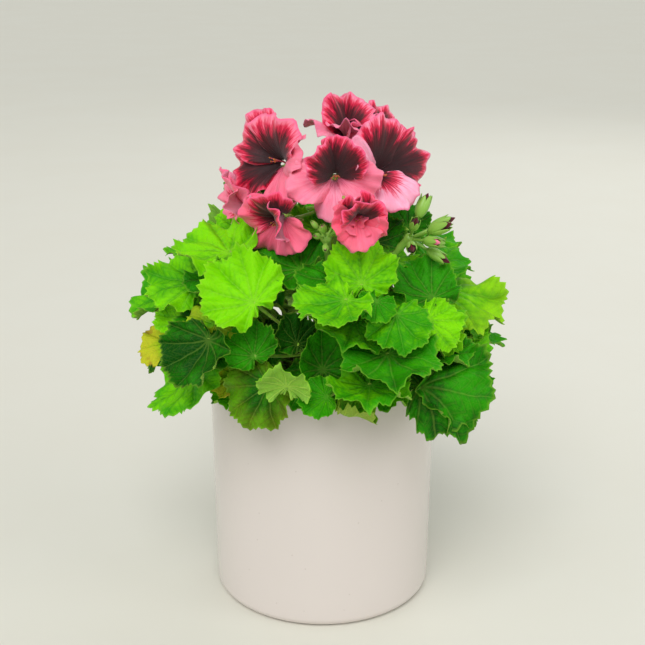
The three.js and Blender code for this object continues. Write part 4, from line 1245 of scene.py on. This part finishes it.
class GERANIUM_OT_stem(bpy.types.Operator):
    """Smooth the branching stem and the flower stalk, and give them their skin"""

    bl_idname = "geranium.stem"
    bl_label = "Stem and flower stalk"

    def execute(self, context):
        smooth_copy("stem", "stem_look", 0.0011, 5, stem_material())
        skin = stalk_material("umbel_stalk", context.scene.geranium_leaf, 0.2)
        smooth_copy("flower_stalk", "flower_stalk_look", 0.0006, 4, skin)
        return {"FINISHED"}


class GERANIUM_OT_leaves(bpy.types.Operator):
    """Build every leaf that has a CAD node, toothed, pleated and veined"""

    bl_idname = "geranium.leaves"
    bl_label = "Leaves"

    def execute(self, context):
        settings = context.scene.geranium_leaf
        skins = leaf_skin(settings)
        for node in sorted(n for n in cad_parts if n.startswith("leaf_")):
            rng = seeded(node)
            # The tone carries painted light and shade as well as the leaf's own green.
            tone = LEAF_GREEN_AND_SHADE.get(node, rng.uniform(0.15, 0.7))
            patches = leaf_patches(read_cage(node), rng, settings, tone, LEAF_AGES.get(node, 0.0),
                                   LEAF_SPOTS.get(node, 0.0))
            piece(node + "_look", patches, skins, [node])
        return {"FINISHED"}


class GERANIUM_OT_fill(bpy.types.Operator):
    """Fill the plant between and behind its modelled leaves"""

    bl_idname = "geranium.fill"
    bl_label = "Filling leaves"

    def execute(self, context):
        settings = context.scene.geranium_leaf
        standing = []
        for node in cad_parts:
            if node.startswith(("leaf_", "flower_")) and node != "flower_stalk":
                cage = read_cage(node)
                blade = [cage["hub"] + share * cage["outer"] for share in (0.4, 0.75, 1.0)]
                standing += [*blade, cage["hub"][None]]
        skins = leaf_skin(settings)
        rng = seeded("fill tones")
        for number, cage in enumerate(fill_cages(np.vstack(standing), settings)):
            patches = leaf_patches(cage, rng, settings, rng.uniform(0.15, 0.75), fine=0.8)
            piece(f"fill_leaf_{number + 1:02d}", patches, skins, ())
        return {"FINISHED"}


class GERANIUM_OT_flowers(bpy.types.Operator):
    """Build the ruffled flowers with their stalks, sepals and stamens"""

    bl_idname = "geranium.flowers"
    bl_label = "Flowers"

    def execute(self, context):
        settings = context.scene.geranium_flower
        skins = [petal_material(settings), petal_material(settings, True), sepal_material(),
                 stamen_material()]
        for node in sorted(FLOWER_LOOKS):
            piece(node + "_look", flower_patches(node, read_cage(node), settings), skins, [node])
        return {"FINISHED"}


class GERANIUM_OT_buds(bpy.types.Operator):
    """Build the two clusters of buds on their hairy stalks"""

    bl_idname = "geranium.buds"
    bl_label = "Buds"

    def execute(self, context):
        skins = [bpy.data.materials["petal_upper"], bpy.data.materials["sepal"]]
        for node, opening in (("bud_cluster_right", 0.8), ("bud_cluster_centre", 0.0)):
            rng = seeded(node)
            points, centre, tips, ways = bud_axes(node)
            if not len(tips):
                raise RuntimeError("no buds found in " + node)
            patches = [umbel_patch(points, centre, UMBEL_RADIUS, KNOB_RADIUS)]
            for tip, way in zip(tips, ways):
                size = (np.linalg.norm(tip - centre) - KNOB_RADIUS) / (BUD_STALK + BUD_LENGTH)
                base = centre + way * (KNOB_RADIUS + BUD_STALK * size)
                patches += bud_patches(base, way, 1.25 * BUD_LENGTH * size, 1.15 * BUD_RADIUS * size,
                                       opening * rng.uniform(0.3, 1.9), rng)
                pedicel = np.linspace(centre, base + 0.001 * way, 8)
                patches.append(tube(pedicel, 0.0009 * min(1, size + 0.2), 8, 1, (0.8, 0.3, 0, 1)))
                around = base + way * rng.uniform(-0.006, 0.008, (HAIR_PLACES, 1)) * size
                outwards = unit(np.cross(way, rng.normal(0, 1, (HAIR_PLACES, 3))))
                spread = np.where(((around - base) @ way > 0)[:, None], 0.9 * BUD_RADIUS * size, 0.0008)
                patches.append(hair_patches(around + spread * outwards, outwards, rng, HAIRS, 0.0013, 1))
            piece(node + "_look", patches, skins, [node])
        return {"FINISHED"}


class GERANIUM_OT_stage(bpy.types.Operator):
    """Set the plain floor, the soft light and the camera"""

    bl_idname = "geranium.stage"
    bl_label = "Stage"

    def execute(self, context):
        stage = context.scene.geranium_stage
        mesh = bpy.data.meshes.new("floor")
        mesh.from_pydata([(-6, -6, 0), (6, -6, 0), (6, 6, 0), (-6, 6, 0)], [], [(0, 1, 2, 3)])
        floor = bpy.data.objects.new("floor", mesh)
        context.scene.collection.objects.link(floor)
        skin, tree, surface = material("floor", Roughness=0.6)
        noise = mottle(tree, 6.0)
        cloud = maths(tree, "MULTIPLY", noise["Soft"], 0.08)
        colour = blend(tree, cloud, rgba(stage.floor), rgba(stage.air))
        tree.links.new(colour, surface.inputs["Base Color"])
        mesh.materials.append(skin)
        for name, place, size, power in (
            ("left_box", (-1.3, -0.5, 0.7), 0.8, 2.6), ("right_box", (1.4, -0.6, 0.7), 0.8, 5.0),
            ("back_box", (0.6, 1.4, 1.1), 1.2, 4.0), ("key", (-0.3, -1.5, 1.9), 0.7, 1.9),
        ):
            light = bpy.data.lights.new(name, "SUN" if name == "key" else "AREA")
            light.energy = power
            if name == "key":
                light.angle = size
            else:
                light.shape, light.size = "DISK", size
            lamp = bpy.data.objects.new(name, light)
            aim = np.array([0, 0, 0.18]) - np.array(place)
            lamp.location = place
            tilt = math.atan2(math.hypot(aim[0], aim[1]), -aim[2])
            lamp.rotation_euler = (tilt, 0, math.atan2(-aim[0], aim[1]))
            context.scene.collection.objects.link(lamp)
        world = bpy.data.worlds.new("air")
        world.use_nodes = True
        background = world.node_tree.nodes["Background"]
        background.inputs["Color"].default_value = rgba(stage.air)
        background.inputs["Strength"].default_value = stage.air_strength
        context.scene.world = world
        context.scene.view_settings.view_transform = "Standard"
        camera = bpy.data.cameras.new("camera")
        camera.lens, camera.sensor_width = stage.focal_length, 36.0
        holder = bpy.data.objects.new("camera", camera)
        holder.location = (0, -stage.camera_back, stage.camera_height)
        holder.rotation_euler = (math.pi / 2 - stage.camera_pitch, 0, 0)
        context.scene.collection.objects.link(holder)
        context.scene.camera = holder
        return {"FINISHED"}


STEPS = (
    GERANIUM_OT_cover_pot, GERANIUM_OT_nursery_pot, GERANIUM_OT_soil, GERANIUM_OT_stem,
    GERANIUM_OT_leaves, GERANIUM_OT_fill, GERANIUM_OT_flowers, GERANIUM_OT_buds, GERANIUM_OT_stage,
)
SETTINGS = {
    "geranium_pot": PotSettings,
    "geranium_leaf": LeafSettings,
    "geranium_flower": FlowerSettings,
    "geranium_stage": StageSettings,
}


class GERANIUM_PT_panel(bpy.types.Panel):
    """Sidebar panel that lists the steps and their settings"""

    bl_label = "Potted geranium"
    bl_idname = "GERANIUM_PT_panel"
    bl_space_type = "VIEW_3D"
    bl_region_type = "UI"
    bl_category = "Geranium"

    def draw(self, context):
        for step in STEPS:
            self.layout.operator(step.bl_idname)
        for name, kind in SETTINGS.items():
            box = self.layout.box()
            for key in kind.__annotations__:
                box.prop(getattr(context.scene, name), key)


def register():
    """Registers the settings, the operators and the panel."""
    for kind in (*SETTINGS.values(), *STEPS, GERANIUM_PT_panel):
        bpy.utils.register_class(kind)
    for name, kind in SETTINGS.items():
        setattr(bpy.types.Scene, name, PointerProperty(type=kind))


def unregister():
    """Takes everything back."""
    for name in SETTINGS:
        delattr(bpy.types.Scene, name)
    for kind in reversed((*SETTINGS.values(), *STEPS, GERANIUM_PT_panel)):
        bpy.utils.unregister_class(kind)


def main():
    register()
    for step in STEPS:
        area, name = step.bl_idname.split(".")
        getattr(getattr(bpy.ops, area), name)()
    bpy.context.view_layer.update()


if __name__ == "__main__":
    main()
